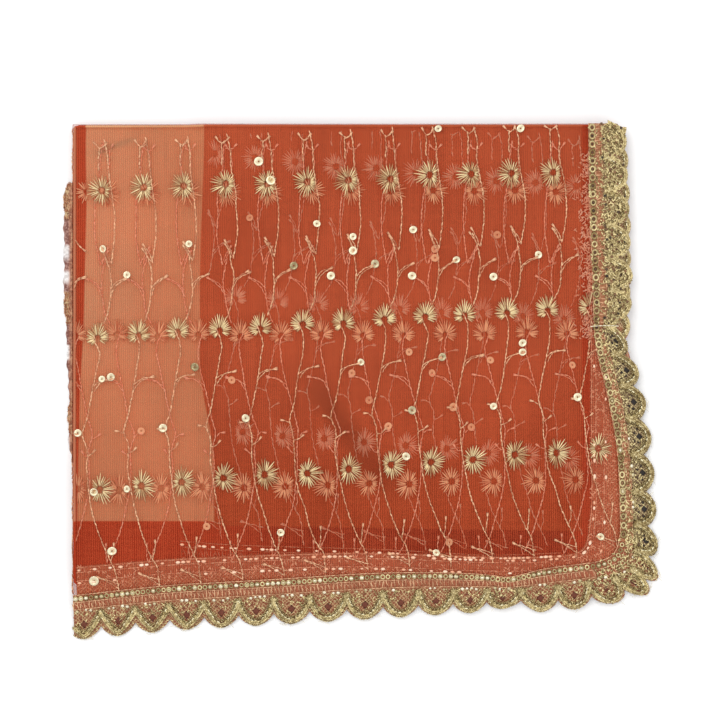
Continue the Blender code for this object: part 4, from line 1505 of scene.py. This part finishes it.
    def build_under_net(self, finish: Material) -> None:
        """Build the netted threads that show through the ply above."""
        chance = self.chance(1)
        net = self.scatter(self.bench.stitch())
        first = max(self.first, self.bunched)
        count = int((self.last - first) * 110)
        numbers = chance.uniform(first, self.last - 0.03, count)
        share = chance.uniform(0.0, 0.44, count)
        share = share + 0.45 * self.edge.wave(numbers) * (chance.random(count) > 0.5)
        turn = chance.choice((-0.8, 0.8, math.pi / 2), count) + chance.uniform(-0.2, 0.2, count)
        size = (chance.uniform(1.6, 3.6, count), 0.8, 0.5)
        self.put(net, numbers, share, turn, size, chance.uniform(0.0, 1.0, count), 0.2)
        self.lay_run(net, ThreadRun((0.03, 0.14, 0.33), 3.4, 0.8, 0.15, (0.2, 1.0)), chance, first)
        self.keep(net, "threads", finish)

    def lay_run(self, threads: Scatter, run: ThreadRun, chance: Chance, first: float) -> None:
        """Lay rows of stitches along the lace from a scallop to its end."""
        for share in run.shares:
            numbers = self.edge.spaced(first, self.last, run.pitch * MM)
            turn = chance.uniform(-run.sway, run.sway, len(numbers))
            tones = chance.uniform(*run.tones, len(numbers))
            self.put(threads, numbers, share, turn, (run.length, run.width, 0.6), tones, 0.3)

    def build_eyelets(self, finish: Material) -> None:
        """Build a dark disc of painted shade behind each hole, and the lattice's small round eyelet holes as
        dark discs of painted shade.
        """
        chance = self.chance(5)
        eyelets = self.scatter(self.bench.bead())
        phase = self.edge.phase
        tips = np.arange(math.ceil(self.first + phase - 0.4), math.floor(self.last + phase - 0.55) + 1)
        tips = tips + 0.5 - phase
        # A disc under each cut hole is painted shade seen through it; dark is its tone.
        dark = np.where(tips < 6.5, 0.45, 0.0) if self.ringed else np.full(len(tips), 0.15)
        self.put(eyelets, tips, self.hole, 0.0, (4.8, 4.8, 0.3), dark, -0.6)
        cells = (
            (-0.19, 0.64, 1.9, 0.05), (0.19, 0.64, 1.9, 0.05), (-0.095, 0.54, 1.8, 0.1),
            (0.1, 0.535, 1.8, 0.1), (0.0, 0.45, 1.7, 0.25), (-0.26, 0.5, 1.6, 0.35),
            (0.27, 0.49, 1.6, 0.35), (-0.37, 0.39, 1.7, 0.35), (0.38, 0.38, 1.7, 0.35),
        )
        # The lattice's eyelet holes are small dark discs of painted shade.
        for offset, share, size, tone in cells if self.ringed else cells[3:7]:
            numbers = tips + offset + chance.uniform(-0.025, 0.025, len(tips))
            girth = size * chance.uniform(0.8, 1.15, len(tips))
            tones = np.clip(dark + tone + chance.uniform(-0.05, 0.2, len(tips)), 0, 1)
            places = share + chance.uniform(-0.015, 0.015, len(tips))
            self.put(eyelets, numbers, places, 0.5, (girth, girth * 0.85, 0.7), tones, 0.35)
        if self.ringed:
            self.fill_rings(eyelets, chance)
        self.keep(eyelets, "eyelets", finish)

    def fill_rings(self, eyelets: Scatter, chance: Chance) -> None:
        """Add the dark middles of the header's rings, and the bunched lace's eyelet holes as dark discs of
        painted shade.
        """
        numbers = self.edge.spaced(self.first, self.last, 5.4 * MM)
        size = chance.uniform(1.3, 1.9, len(numbers))
        tones = np.where(numbers < self.bunched, 0.2, 0.6) + chance.uniform(0.1, 0.5, len(numbers))
        self.put(eyelets, numbers, self.header, 0.0, (size, size, 0.6), tones, 0.2)
        for share, pitch in ((0.36, 5.6), (0.52, 9.0), (0.68, 7.4), (0.86, 10.0)):
            numbers = self.edge.spaced(self.first, 6.6, pitch * MM)
            numbers = numbers + chance.uniform(-0.12, 0.12, len(numbers))
            size = chance.uniform(1.2, 2.2, len(numbers))
            places = share + chance.uniform(-0.04, 0.04, len(numbers))
            tones = chance.uniform(0.1, 0.9, len(numbers))
            self.put(eyelets, numbers, places, 0.0, (size, size, 1.0), tones, 1.7)

    def build_ladder(self, finish: Material) -> None:
        """Build the fine threads across the band, and the threads that hold them."""
        chance = self.chance(1)
        ladder = self.scatter(self.bench.stitch())
        numbers = self.edge.spaced(self.first, self.last, 2.5 * MM)
        count = len(numbers)
        for share, lean, width in ((0.21, 0.0, 0.75), (0.27, 0.0, 0.75), (0.24, 0.62, 0.5)):
            places = numbers + chance.uniform(-0.02, 0.02, count)
            turn = math.pi / 2 + lean + chance.uniform(-0.16, 0.16, count)
            size = (chance.uniform(4.0, 5.6, count), width, 0.5)
            self.put(ladder, places, share, turn, size, chance.uniform(0.1, 0.9, count), 0.25)
        holders = ThreadRun((0.0, 0.165, 0.33), 3.5, 0.75, 0.14, (0.3, 1.0))
        self.lay_run(ladder, holders, chance, self.first)
        self.keep(ladder, "ladder", finish)

    def cord_share(self, scallop: Array) -> Array:
        """Return where the cords' middle runs: round loops, which straighten into points at the left."""
        roundness = np.interp(scallop, (25.5, 27.5), (2.4, 1.35)) if self.last > 20 else 2.4
        return 0.43 + 0.47 * (1 - (self.from_middle(scallop) * 2) ** roundness)

    def cord_line(self, offset: float, pitch: float) -> tuple[Array, Array, Array, Array]:
        """Return a cord's x, y, heading and scallop numbers at even steps along its wave.

        Args:
            offset: How far it lies outside the wave's middle, in millimetres.
            pitch: The step, in millimetres.
        """
        dense = np.linspace(self.first + 0.02, self.last - 0.02, int((self.last - self.first) * 160))
        x, y = self.edge.place(dense, self.cord_share(dense))
        dx, dy = np.gradient(x), np.gradient(y)
        length = np.hypot(dx, dy)
        x, y = x - dy / length * offset * MM, y + dx / length * offset * MM
        travel = np.concatenate(((0.0,), np.cumsum(np.hypot(np.diff(x), np.diff(y)))))
        steps = np.arange(pitch * MM / 2, travel[-1], pitch * MM)
        behind, ahead = steps - 0.4 * MM, steps + 0.4 * MM
        rise, run = (np.interp(ahead, travel, v) - np.interp(behind, travel, v) for v in (y, x))
        px, py, number = (np.interp(steps, travel, v) for v in (x, y, dense))
        return px, py, np.arctan2(rise, run), number

    def build_cords(self, finish: Material, beading: Material) -> None:
        """Build the waving cords: a thick plaited one, one wound with foil, and a thin plaited one."""
        chance = self.chance(2)
        girth = 1.0 if self.ringed else 0.92
        plait = self.scatter(self.bench.stitch())
        for offset, width, lift, bright in ((1.2, 2.6, 1.1, 0.5), (-1.7, 1.4, 0.9, 0.42)):
            x, y, heading, number = self.cord_line(offset * girth, 1.2)
            rise = self.edge.ruffle(number, self.cord_share(number))
            pale = np.where(self.ringed & (number > self.bunched), 0.14, 0.0)
            wide = width * girth * MM
            for side in (-1.0, 1.0):
                aside = side * wide * 0.24
                px, py = x - np.sin(heading) * aside, y + np.cos(heading) * aside
                turn = heading - side * 0.62 + chance.uniform(-0.08, 0.08, len(x))
                tones = np.clip(bright - pale + chance.uniform(-0.26, 0.26, len(x)), 0, 1)
                plait.add(px, py, turn, (wide * 1.05, wide * 0.5, 1.4 * MM), tones, lift * MM + rise)
        self.keep(plait, "cords", finish)
        foil = self.scatter(self.bench.bead())
        for offset, pitch, length, width, kept in ((-0.4, 2.5, 2.6, 1.0, 0.92), (1.7, 2.9, 1.6, 0.9, 0.3)):
            x, y, heading, number = self.cord_line(offset * girth, pitch)
            thinned = np.where(self.ringed & (number < self.bunched), 0.4, 1.0)
            keep = chance.random(len(x)) < kept * thinned
            rise = self.edge.ruffle(number, self.cord_share(number))[keep]
            count = int(keep.sum())
            turn = heading[keep] + chance.uniform(-0.12, 0.12, count)
            size = (length * MM, width * girth * chance.uniform(0.8, 1.1, count) * MM, 1.2 * MM)
            foil.add(x[keep], y[keep], turn, size, chance.uniform(0.0, 0.9, count), 1.15 * MM + rise)
        self.keep(foil, "foil", beading)

    def build_rosettes(self, finish: Material) -> None:
        """Build the knot of nine loops at each peak of the cords."""
        chance = self.chance(3)
        knots = self.scatter(self.bench.petal())
        phase = self.edge.phase
        whole = range(max(1, math.ceil(self.first + phase)), math.floor(self.last + phase) + 1)
        reach = (1.7 if self.ringed else 1.3) * MM
        for peak in [n - phase for n in whole if n - phase < 25.5]:
            at = np.array([peak]), np.array([self.peak])
            x, y = self.edge.place(*at)
            turns = np.linspace(0, 2 * math.pi, 10)[:-1] + chance.uniform(0, 0.8)
            px, py = x + reach * np.cos(turns), y + reach * np.sin(turns)
            size = (reach * 1.9, 1.4 * MM, 1.2 * MM)
            knots.add(px, py, turns, size, chance.uniform(0.1, 0.6, 9), 1.2 * MM + self.edge.ruffle(*at))
        self.keep(knots, "rosettes", finish)

    def build_filling(self, finish: Material, density: float) -> None:
        """Build the crossed filling threads inside the scallops and the small loops at the edge."""
        chance = self.chance(4)
        filling = self.scatter(self.bench.stitch())
        numbers = chance.uniform(self.first + 0.05, self.last - 0.05, int((self.last - self.first) * density))
        if self.ringed:
            numbers = np.concatenate((numbers, chance.uniform(0.05, 6.4, int(6.4 * density))))
        low, high = 0.38, 0.45 + 0.44 * self.edge.wave(numbers)
        share = low + (high - low) * chance.random(len(numbers))
        past_hole = self.from_middle(numbers) / 0.12 + np.abs(share - self.hole) / 0.105 > 1.0
        clear = past_hole | (numbers < 5.5)
        numbers, share = numbers[clear], share[clear]
        count = len(numbers)
        turn = np.where(chance.random(count) > 0.5, 0.85, -0.85) + chance.uniform(-0.2, 0.2, count)
        long = np.where(chance.random(count) > 0.45, chance.uniform(2.2, 4.0, count), 1.5)
        wide = np.where(long < 1.6, 1.35, 0.75)
        tones = chance.uniform(0.3, 1.0, count) + 0.15 * (long < 1.6)
        self.put(filling, numbers, share, turn, (long, wide, 0.7), tones, 0.25)
        self.crowd(filling, chance)
        rim = self.edge.spaced(self.first, self.last, 1.5 * MM)
        share = 0.66 + 0.34 * self.edge.wave(rim)
        turn = chance.uniform(-0.5, 0.5, len(rim))
        self.put(filling, rim, share, turn, (2.2, 0.8, 0.8), chance.uniform(0.2, 0.9, len(rim)), 0.2)
        self.keep(filling, "filling", finish)

    def crowd(self, filling: Scatter, chance: Chance) -> None:
        """Add the crowded threads: from scallop to scallop, from share to share, lift and count."""
        crowds = ((13.02, 15.6, 0.14, 0.85, 0.5, 300),)
        if self.ringed:
            crowds = (
                (0.1, 13.0, 0.14, 0.42, 0.5, 260),
                (6.4, 13.0, 0.14, 0.42, 0.5, 160),
                (12.2, 13.0, 0.14, 0.85, 0.5, 70),
                (0.1, 6.2, 0.3, 0.92, 1.4, 760),
            )
        for first, last, low, high, lift, count in crowds:
            numbers = chance.uniform(first, last, count)
            share = chance.uniform(low, high, count)
            turn = chance.choice((-0.85, 0.85, 0.0), count) + chance.uniform(-0.3, 0.3, count)
            upper = lift > 1
            size = (chance.uniform(1.6, 3.4, count), 1.0, 0.55 if upper else 0.8)
            mottle = 0.22 * np.sin(numbers * 9.7 + share * 7.0) * np.cos(numbers * 4.1 - share * 17.0)
            tones = chance.uniform(*((0.4, 0.9) if upper else (0.15, 1.0)), count)
            tones = np.clip(tones + mottle if upper else tones, 0, 1)
            inside = share < 0.7 + 0.3 * self.edge.wave(numbers)
            self.put(filling, numbers, share * inside, turn, size, tones, lift)


THREADS: tuple[ThreadFinish, ...] = (
    ThreadFinish("gold_cord", (0.2, 0.13, 0.04), (0.88, 0.735, 0.385), Gloss.METAL_THREAD),
    ThreadFinish("wound_gold_foil", (0.42, 0.32, 0.12), (0.98, 0.9, 0.6), Gloss.FOIL),
    ThreadFinish("pale_gold_bead", (0.48, 0.38, 0.18), (0.93, 0.85, 0.66), Gloss.FOIL),
    ThreadFinish("rose_gold_thread", (0.34, 0.11, 0.045), (0.8, 0.48, 0.27), Gloss.SILK_THREAD),
    ThreadFinish("gold_under_net", (0.52, 0.15, 0.068), (0.96, 0.52, 0.31), Gloss.SILK_THREAD),
    ThreadFinish("bead_under_net", (0.8, 0.38, 0.22), (1.0, 0.86, 0.66), Gloss.SILK_THREAD),
    # The next two are painted shade seen through the lace's holes; the second also holds the red-brown of the
    # net below.
    ThreadFinish("painted_hole_shade", (0.014, 0.008, 0.005), (0.26, 0.13, 0.055), Gloss.SILK_THREAD),
    ThreadFinish("painted_shade_over_red_net", (0.13, 0.026, 0.01), (0.42, 0.11, 0.045), Gloss.SILK_THREAD),
)
END_GROUND = LaceGroundFinish(
    "end_lace_net", (0.4, 0.15, 0.062), (0.14, 0.07, 0.03), (0.62, 0.5, 0.25), gold_until=131.0
)
SIDE_GROUND = LaceGroundFinish(
    "side_lace_net", (0.36, 0.09, 0.036), (0.26, 0.07, 0.028), (0.56, 0.39, 0.19)
)
UNDER_GROUND = LaceGroundFinish(
    "under_lace_net", (0.36, 0.082, 0.029), (0.35, 0.078, 0.027), (0.65, 0.32, 0.16), gold_until=131.0
)


class LaceBorders:
    """All the lace: the uppermost ply's, the second ply's and the far end's."""

    def __init__(self, bench: Workbench) -> None:
        """Keep the bench and build the threads' finishes."""
        self.bench = bench
        self.thread = {finish.name: finish.build() for finish in THREADS}

    def build_upper(self) -> list[Piece]:
        """Return the uppermost ply's lace."""
        pieces = []
        gold = self.thread["gold_cord"]
        for node, first, last, ground, dark, seed in (
            ("end_lace", 0.0, 13.0, END_GROUND, "painted_hole_shade", 21),
            ("side_lace", 13.02, 30.8, SIDE_GROUND, "painted_shade_over_red_net", 31),
        ):
            stretch = LaceStretch(node, TOP_EDGE, first, last, node == "end_lace", self.bench, seed)
            stretch.build_ground(ground, True)
            stretch.build_header(self.thread["pale_gold_bead"], gold)
            # The eyelets are painted shade seen through the lace's holes.
            stretch.build_eyelets(self.thread[dark])
            stretch.build_ladder(self.thread["rose_gold_thread"])
            stretch.build_cords(gold, self.thread["wound_gold_foil"])
            stretch.build_rosettes(gold)
            stretch.build_filling(gold, 62.0)
            pieces += stretch.pieces
        return pieces

    def build_under(self) -> list[Piece]:
        """Return the second ply's lace, which shows through and past the uppermost one."""
        pieces = []
        for node, first, last, seed in (
            ("second_end_lace", 0.0, 12.0, 41),
            ("second_side_lace", 12.02, 27.5, 51),
        ):
            stretch = LaceStretch(node, SECOND_EDGE, first, last, False, self.bench, seed)
            stretch.build_ground(UNDER_GROUND, False)
            stretch.build_under_header(self.thread["bead_under_net"])
            stretch.build_under_net(self.thread["gold_under_net"])
            if node == "second_end_lace":
                upper_end = replace(stretch, last=6.4)
                upper_end.build_cords(self.thread["gold_cord"], self.thread["wound_gold_foil"])
            pieces += stretch.pieces
        return pieces

    def build_low_rows(self) -> list[Piece]:
        """Return the header rows of the plies still lower, which show through faintly."""
        chance = np.random.default_rng(71)
        beads = Scatter(self.bench.bead(), PACKET.top)
        threads = Scatter(self.bench.stitch(), PACKET.hidden)
        line = ((-0.1177, -0.1052), (-0.087, -0.1071), (0.011, -0.1103), (0.094, -0.1139), (0.13, -0.1125))
        x, y, heading = smooth_path(line, 2.9 * MM)
        keep = chance.random(len(x)) < 0.5
        count = int(keep.sum())
        size = chance.uniform(1.5, 2.5, count) * MM
        sides = (size * 1.4, size * 0.8, size * 0.6)
        beads.add(x[keep], y[keep], heading[keep], sides, chance.uniform(0.0, 0.5, count), 0.0)
        for drop in (1.8, -1.8, -9.5):
            x, y, heading = smooth_path([(a, b + drop * MM) for a, b in line], 2.6 * MM)
            turn = heading + chance.uniform(-0.15, 0.15, len(x))
            tones = chance.uniform(0.1, 0.9, len(x))
            threads.add(x, y, turn, (3.4 * MM, 0.8 * MM, 0.5 * MM), tones, 0.2 * MM)
        x, y, heading = smooth_path([(a, b - 5.6 * MM) for a, b in line], 1.9 * MM)
        turn = heading + (chance.choice((-0.4, 0.0, 0.4), len(x)) + math.pi / 2)
        tones = chance.uniform(0.0, 0.8, len(x))
        threads.add(x, y, turn, (7.6 * MM, 0.7 * MM, 0.5 * MM), tones, 0.2 * MM)
        return [
            beads.build("low_header_beads", self.thread["bead_under_net"], smooth=False),
            threads.build("low_header_threads", self.thread["gold_under_net"]),
            self.build_tufts(chance),
        ]

    def build_tufts(self, chance: Chance, count: int = 520) -> Piece:
        """Return the fine thread ends that crowd inside the upper end lace's seam."""
        tufts = Scatter(self.bench.stitch(), PACKET.second)
        y = chance.uniform(0.028, 0.15, count)
        seam = 0.1496 + 0.0011 * smoothstep((0.09 - y) / 0.05)
        x = seam - np.abs(chance.normal(0.0, 0.004, count))
        turn = chance.choice((-0.6, 0.2, 0.9, 1.6), count) + chance.uniform(-0.3, 0.3, count)
        size = (chance.uniform(1.8, 4.2, count) * MM, 0.9 * MM, 0.6 * MM)
        tufts.add(x, y, turn, size, chance.uniform(0.0, 0.4, count), 0.4 * MM)
        return tufts.build("upper_seam_tufts", self.thread["bead_under_net"])

    def build_tack(self, hairs: int = 90) -> Piece:
        """Return the pale tacking thread across the end lace, and the loose hairs at the lace's edge."""
        chance = np.random.default_rng(81)
        tack = Scatter(self.bench.stitch(), PACKET.top)
        x, y, heading = smooth_path(((0.1482, 0.0363), (0.158, 0.0369), (0.1672, 0.0366)), 2.6 * MM)
        tones = chance.uniform(0.6, 1.0, len(x))
        tack.add(x, y, heading, (3.4 * MM, 0.8 * MM, 0.7 * MM), tones, 2.3 * MM)
        numbers = chance.uniform(6.0, 30.5, hairs)
        reach = 0.78 + 0.24 * TOP_EDGE.wave(numbers) + chance.uniform(-0.02, 0.05, hairs)
        x, y = TOP_EDGE.place(numbers, reach)
        ax, ay = TOP_EDGE.place(numbers + 0.02, reach)
        turn = np.arctan2(ay - y, ax - x) + chance.uniform(-0.9, 0.9, hairs)
        size = (chance.uniform(2.5, 6.0, hairs) * MM, 0.3 * MM, 0.3 * MM)
        tack.add(x, y, turn, size, chance.uniform(0.5, 1, hairs), 0.3 * MM)
        return tack.build("pale_loose_threads", self.thread["pale_gold_bead"])

    def build_far(self) -> list[Piece]:
        """Return the other short end's lace, which lies on the table past the left folds."""
        y = np.linspace(FAR_TIPS[0][0], FAR_TIPS[-1][0], 191)
        tip = np.interp(-y, [-place for place, _ in FAR_TIPS], [tip for _, tip in FAR_TIPS])
        tip = tip + 0.0004 * np.sin(y / 0.0028) + 0.0003 * np.sin(y / 0.0011 + 1.0)
        seam = -0.188
        slope = ((0.0, 6.4), (0.02, 3.4), (0.1, 2.0), (0.25, 1.5), (0.6, 1.3), (0.85, 1.0), (1.0, 0.5))
        shares, heights = np.array(slope).T[..., None]
        x, y_grid, z = np.broadcast_arrays(seam + (tip - seam) * shares, y, heights * MM)
        faces = grid_faces(np.arange(x.size).reshape(x.shape))
        ground = mesh_piece("far_lace_net", (x, y_grid, z), faces, FarLaceFinish().build())
        shade = np.interp(-y, [-place for place, _ in FAR_SHADES], [shade for _, shade in FAR_SHADES])
        zone = np.tile(shade, len(slope))
        ground.data.attributes.new("tone", "FLOAT", "POINT").data.foreach_set("value", zone)
        face_up(ground)
        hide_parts("far_end_lace")
        chance = np.random.default_rng(61)
        plait = Scatter(self.bench.stitch(), lambda px, py: np.full_like(px, 1.3 * MM))
        gold = (shade < 0.3) & (chance.random(len(y)) < 0.8)
        for inward in (0.5, 1.7, 3.1, 4.6):
            x = tip + inward * MM
            keep = gold & (x < -0.1882)
            count = int(keep.sum())
            turn = math.pi / 2 + chance.uniform(-0.9, 0.9, count)
            tones = chance.uniform(0, 0.7, count)
            plait.add(x[keep], y[keep], turn, (2.2 * MM, 0.8 * MM, 0.8 * MM), tones, 0.0)
        fold = Scatter(
            self.bench.stitch(), lambda px, py: np.minimum(2.9 * MM, PACKET.top(px, py) - 1.6 * MM)
        )
        line = np.arange(-0.137, 0.166, 0.0026)
        x = -0.1882 + 0.0003 * np.sin(line / 0.004)
        turn = math.pi / 2 + chance.uniform(-0.3, 0.3, len(x))
        fold.add(x, line, turn, (3.6 * MM, 1.2 * MM, 1.2 * MM), chance.uniform(0.2, 1, len(x)), 0.0)
        rose = self.thread["rose_gold_thread"]
        return [ground, plait.build("far_lace_threads", rose), fold.build("far_lace_seam_threads", rose)]

    def build(self) -> list[Piece]:
        """Build all the lace."""
        worked = self.build_under() + self.build_upper() + self.build_far()
        return worked + self.build_low_rows() + [self.build_tack()]


FAR_TIPS: tuple[Span, ...] = (
    (0.1303, -0.1918), (0.1251, -0.1944), (0.0536, -0.1945), (0.0328, -0.1926), (0.0179, -0.1924),
    (0.0081, -0.1921), (-0.0081, -0.1908), (-0.0179, -0.1918), (-0.0309, -0.1916), (-0.0406, -0.1911),
    (-0.0523, -0.1894),
)
FAR_SHADES: tuple[Span, ...] = (
    (0.1303, 0.0), (0.109, 0.0), (0.104, 0.5), (0.092, 0.5), (0.087, 1.0), (0.075, 0.5), (0.07, 1.0),
    (0.061, 0.5), (0.057, 0.0), (0.04, 0.0), (0.036, 0.5), (0.026, 0.5), (0.023, 1.0), (0.017, 1.0),
    (0.013, 0.5), (-0.01, 0.5), (-0.017, 0.0), (-0.03, 0.0), (-0.036, 0.8), (-0.0523, 0.8),
)


class Needlework:
    """The embroidery of the three plies that show, each seen through the ones above it."""

    petal = ThreadFinish("cream_gold_satin", (0.43, 0.22, 0.095), (0.79, 0.64, 0.36), Gloss.METAL_THREAD)
    vine = ThreadFinish("rose_gold_vine", (0.45, 0.15, 0.065), (0.83, 0.5, 0.29), Gloss.SILK_THREAD)
    foil = ThreadFinish("cream_foil", (0.24, 0.17, 0.06), (0.84, 0.735, 0.5), Gloss.FOIL)
    ghost = ThreadFinish("satin_under_net", (0.56, 0.19, 0.085), (0.96, 0.56, 0.3), Gloss.SILK_THREAD)
    ghost_vine = ThreadFinish("vine_under_net", (0.76, 0.25, 0.13), (1.0, 0.52, 0.33), Gloss.SILK_THREAD)
    deep = ThreadFinish("satin_under_two_nets", (0.86, 0.34, 0.18), (1.0, 0.66, 0.42), Gloss.SILK_THREAD)

    def build(self, bench: Workbench) -> list[Piece]:
        """Sew the three plies."""
        pieces = []
        for name, design, level, seed, finishes, spacing in (
            ("first", TOP_DESIGN, PACKET.top, 3, (self.petal, self.vine, self.foil), 2.5),
            ("second", SECOND_DESIGN, PACKET.second, 5, (self.ghost, self.ghost_vine, self.ghost), 2.6),
            ("third", THIRD_DESIGN, PACKET.hidden, 7, (self.deep, self.deep, self.deep), 3.2),
        ):
            work = Embroidery(bench, design, level, seed)
            work.sew(1.0 * MM, spacing * MM)
            scatters = (("suns", work.petals), ("vines", work.threads), ("sequins", work.sequins))
            for (part, scatter), finish in zip(scatters, finishes):
                if scatter.rows:
                    pieces.append(scatter.build(f"{name}_ply_{part}", finish.build()))
        return pieces


class Studio:
    """The pale table, the soft light and the camera that looks straight down."""

    lamps = (("key_light", (-0.55, 0.75, 1.5), 1.2, 10.0), ("fill_light", (0.8, -0.4, 1.6), 1.6, 5.0))
    lens, sensor, view_width = 85.0, 36.0, 0.468
    view_middle, view_level = (-0.00065, 0.01463), 0.008

    def build_table(self) -> None:
        """Build the table."""
        clear_selection()
        bpy.ops.mesh.primitive_plane_add(size=8.0, location=(0.0, 0.0, 0.0))
        table = bpy.context.active_object
        table.name = "table"
        kit = NodeKit("pale_table", {"Roughness": 0.9})
        drift = kit.mix(kit.noise(3.0), (0.93, 0.93, 0.93), (0.97, 0.97, 0.97))
        kit.feed(kit.shader, {"Base Color": drift})
        table.data.materials.append(kit.material)

    def build_light(self) -> None:
        """Build the white room and its two soft lamps, each turned to the stole."""
        world = bpy.data.worlds.new("soft_room")
        world.use_nodes = True
        room = world.node_tree.nodes["Background"]
        room.inputs["Color"].default_value = (1.0, 1.0, 1.0, 1.0)
        room.inputs["Strength"].default_value = 0.88
        bpy.context.scene.world = world
        for name, place, size, power in self.lamps:
            lamp = bpy.data.lights.new(name, "AREA")
            lamp.shape, lamp.size, lamp.energy = "DISK", size, power
            holder = bpy.data.objects.new(name, lamp)
            holder.location = place
            x, y, z = place
            holder.rotation_euler = (math.atan2(math.hypot(x, y), z), 0.0, math.atan2(-x, y) + math.pi)
            bpy.context.scene.collection.objects.link(holder)

    def build_camera(self) -> None:
        """Build the camera, as high as its lens needs to see the photograph's width."""
        camera = bpy.data.cameras.new("camera")
        camera.lens, camera.sensor_width, camera.clip_end = self.lens, self.sensor, 50.0
        stand = bpy.data.objects.new("camera", camera)
        height = self.view_level + self.view_width * self.lens / self.sensor
        stand.location = (*self.view_middle, height)
        bpy.context.scene.collection.objects.link(stand)
        bpy.context.scene.camera = stand
        bpy.context.scene.view_settings.view_transform = "Standard"

    def build(self) -> None:
        """Build the stage."""
        self.build_table()
        self.build_light()
        self.build_camera()


def main() -> None:
    """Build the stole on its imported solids."""
    logging.basicConfig(level=logging.INFO, format="%(name)s: %(message)s")
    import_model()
    clear_selection()
    bench = Workbench()
    pieces = FoldedNet().build() + LaceBorders(bench).build() + Needlework().build(bench)
    for piece in pieces:
        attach(piece, "root")
        LOG.info("%s: %d faces", piece.name, len(piece.data.polygons))
    Studio().build()


if __name__ == "__main__":
    main()
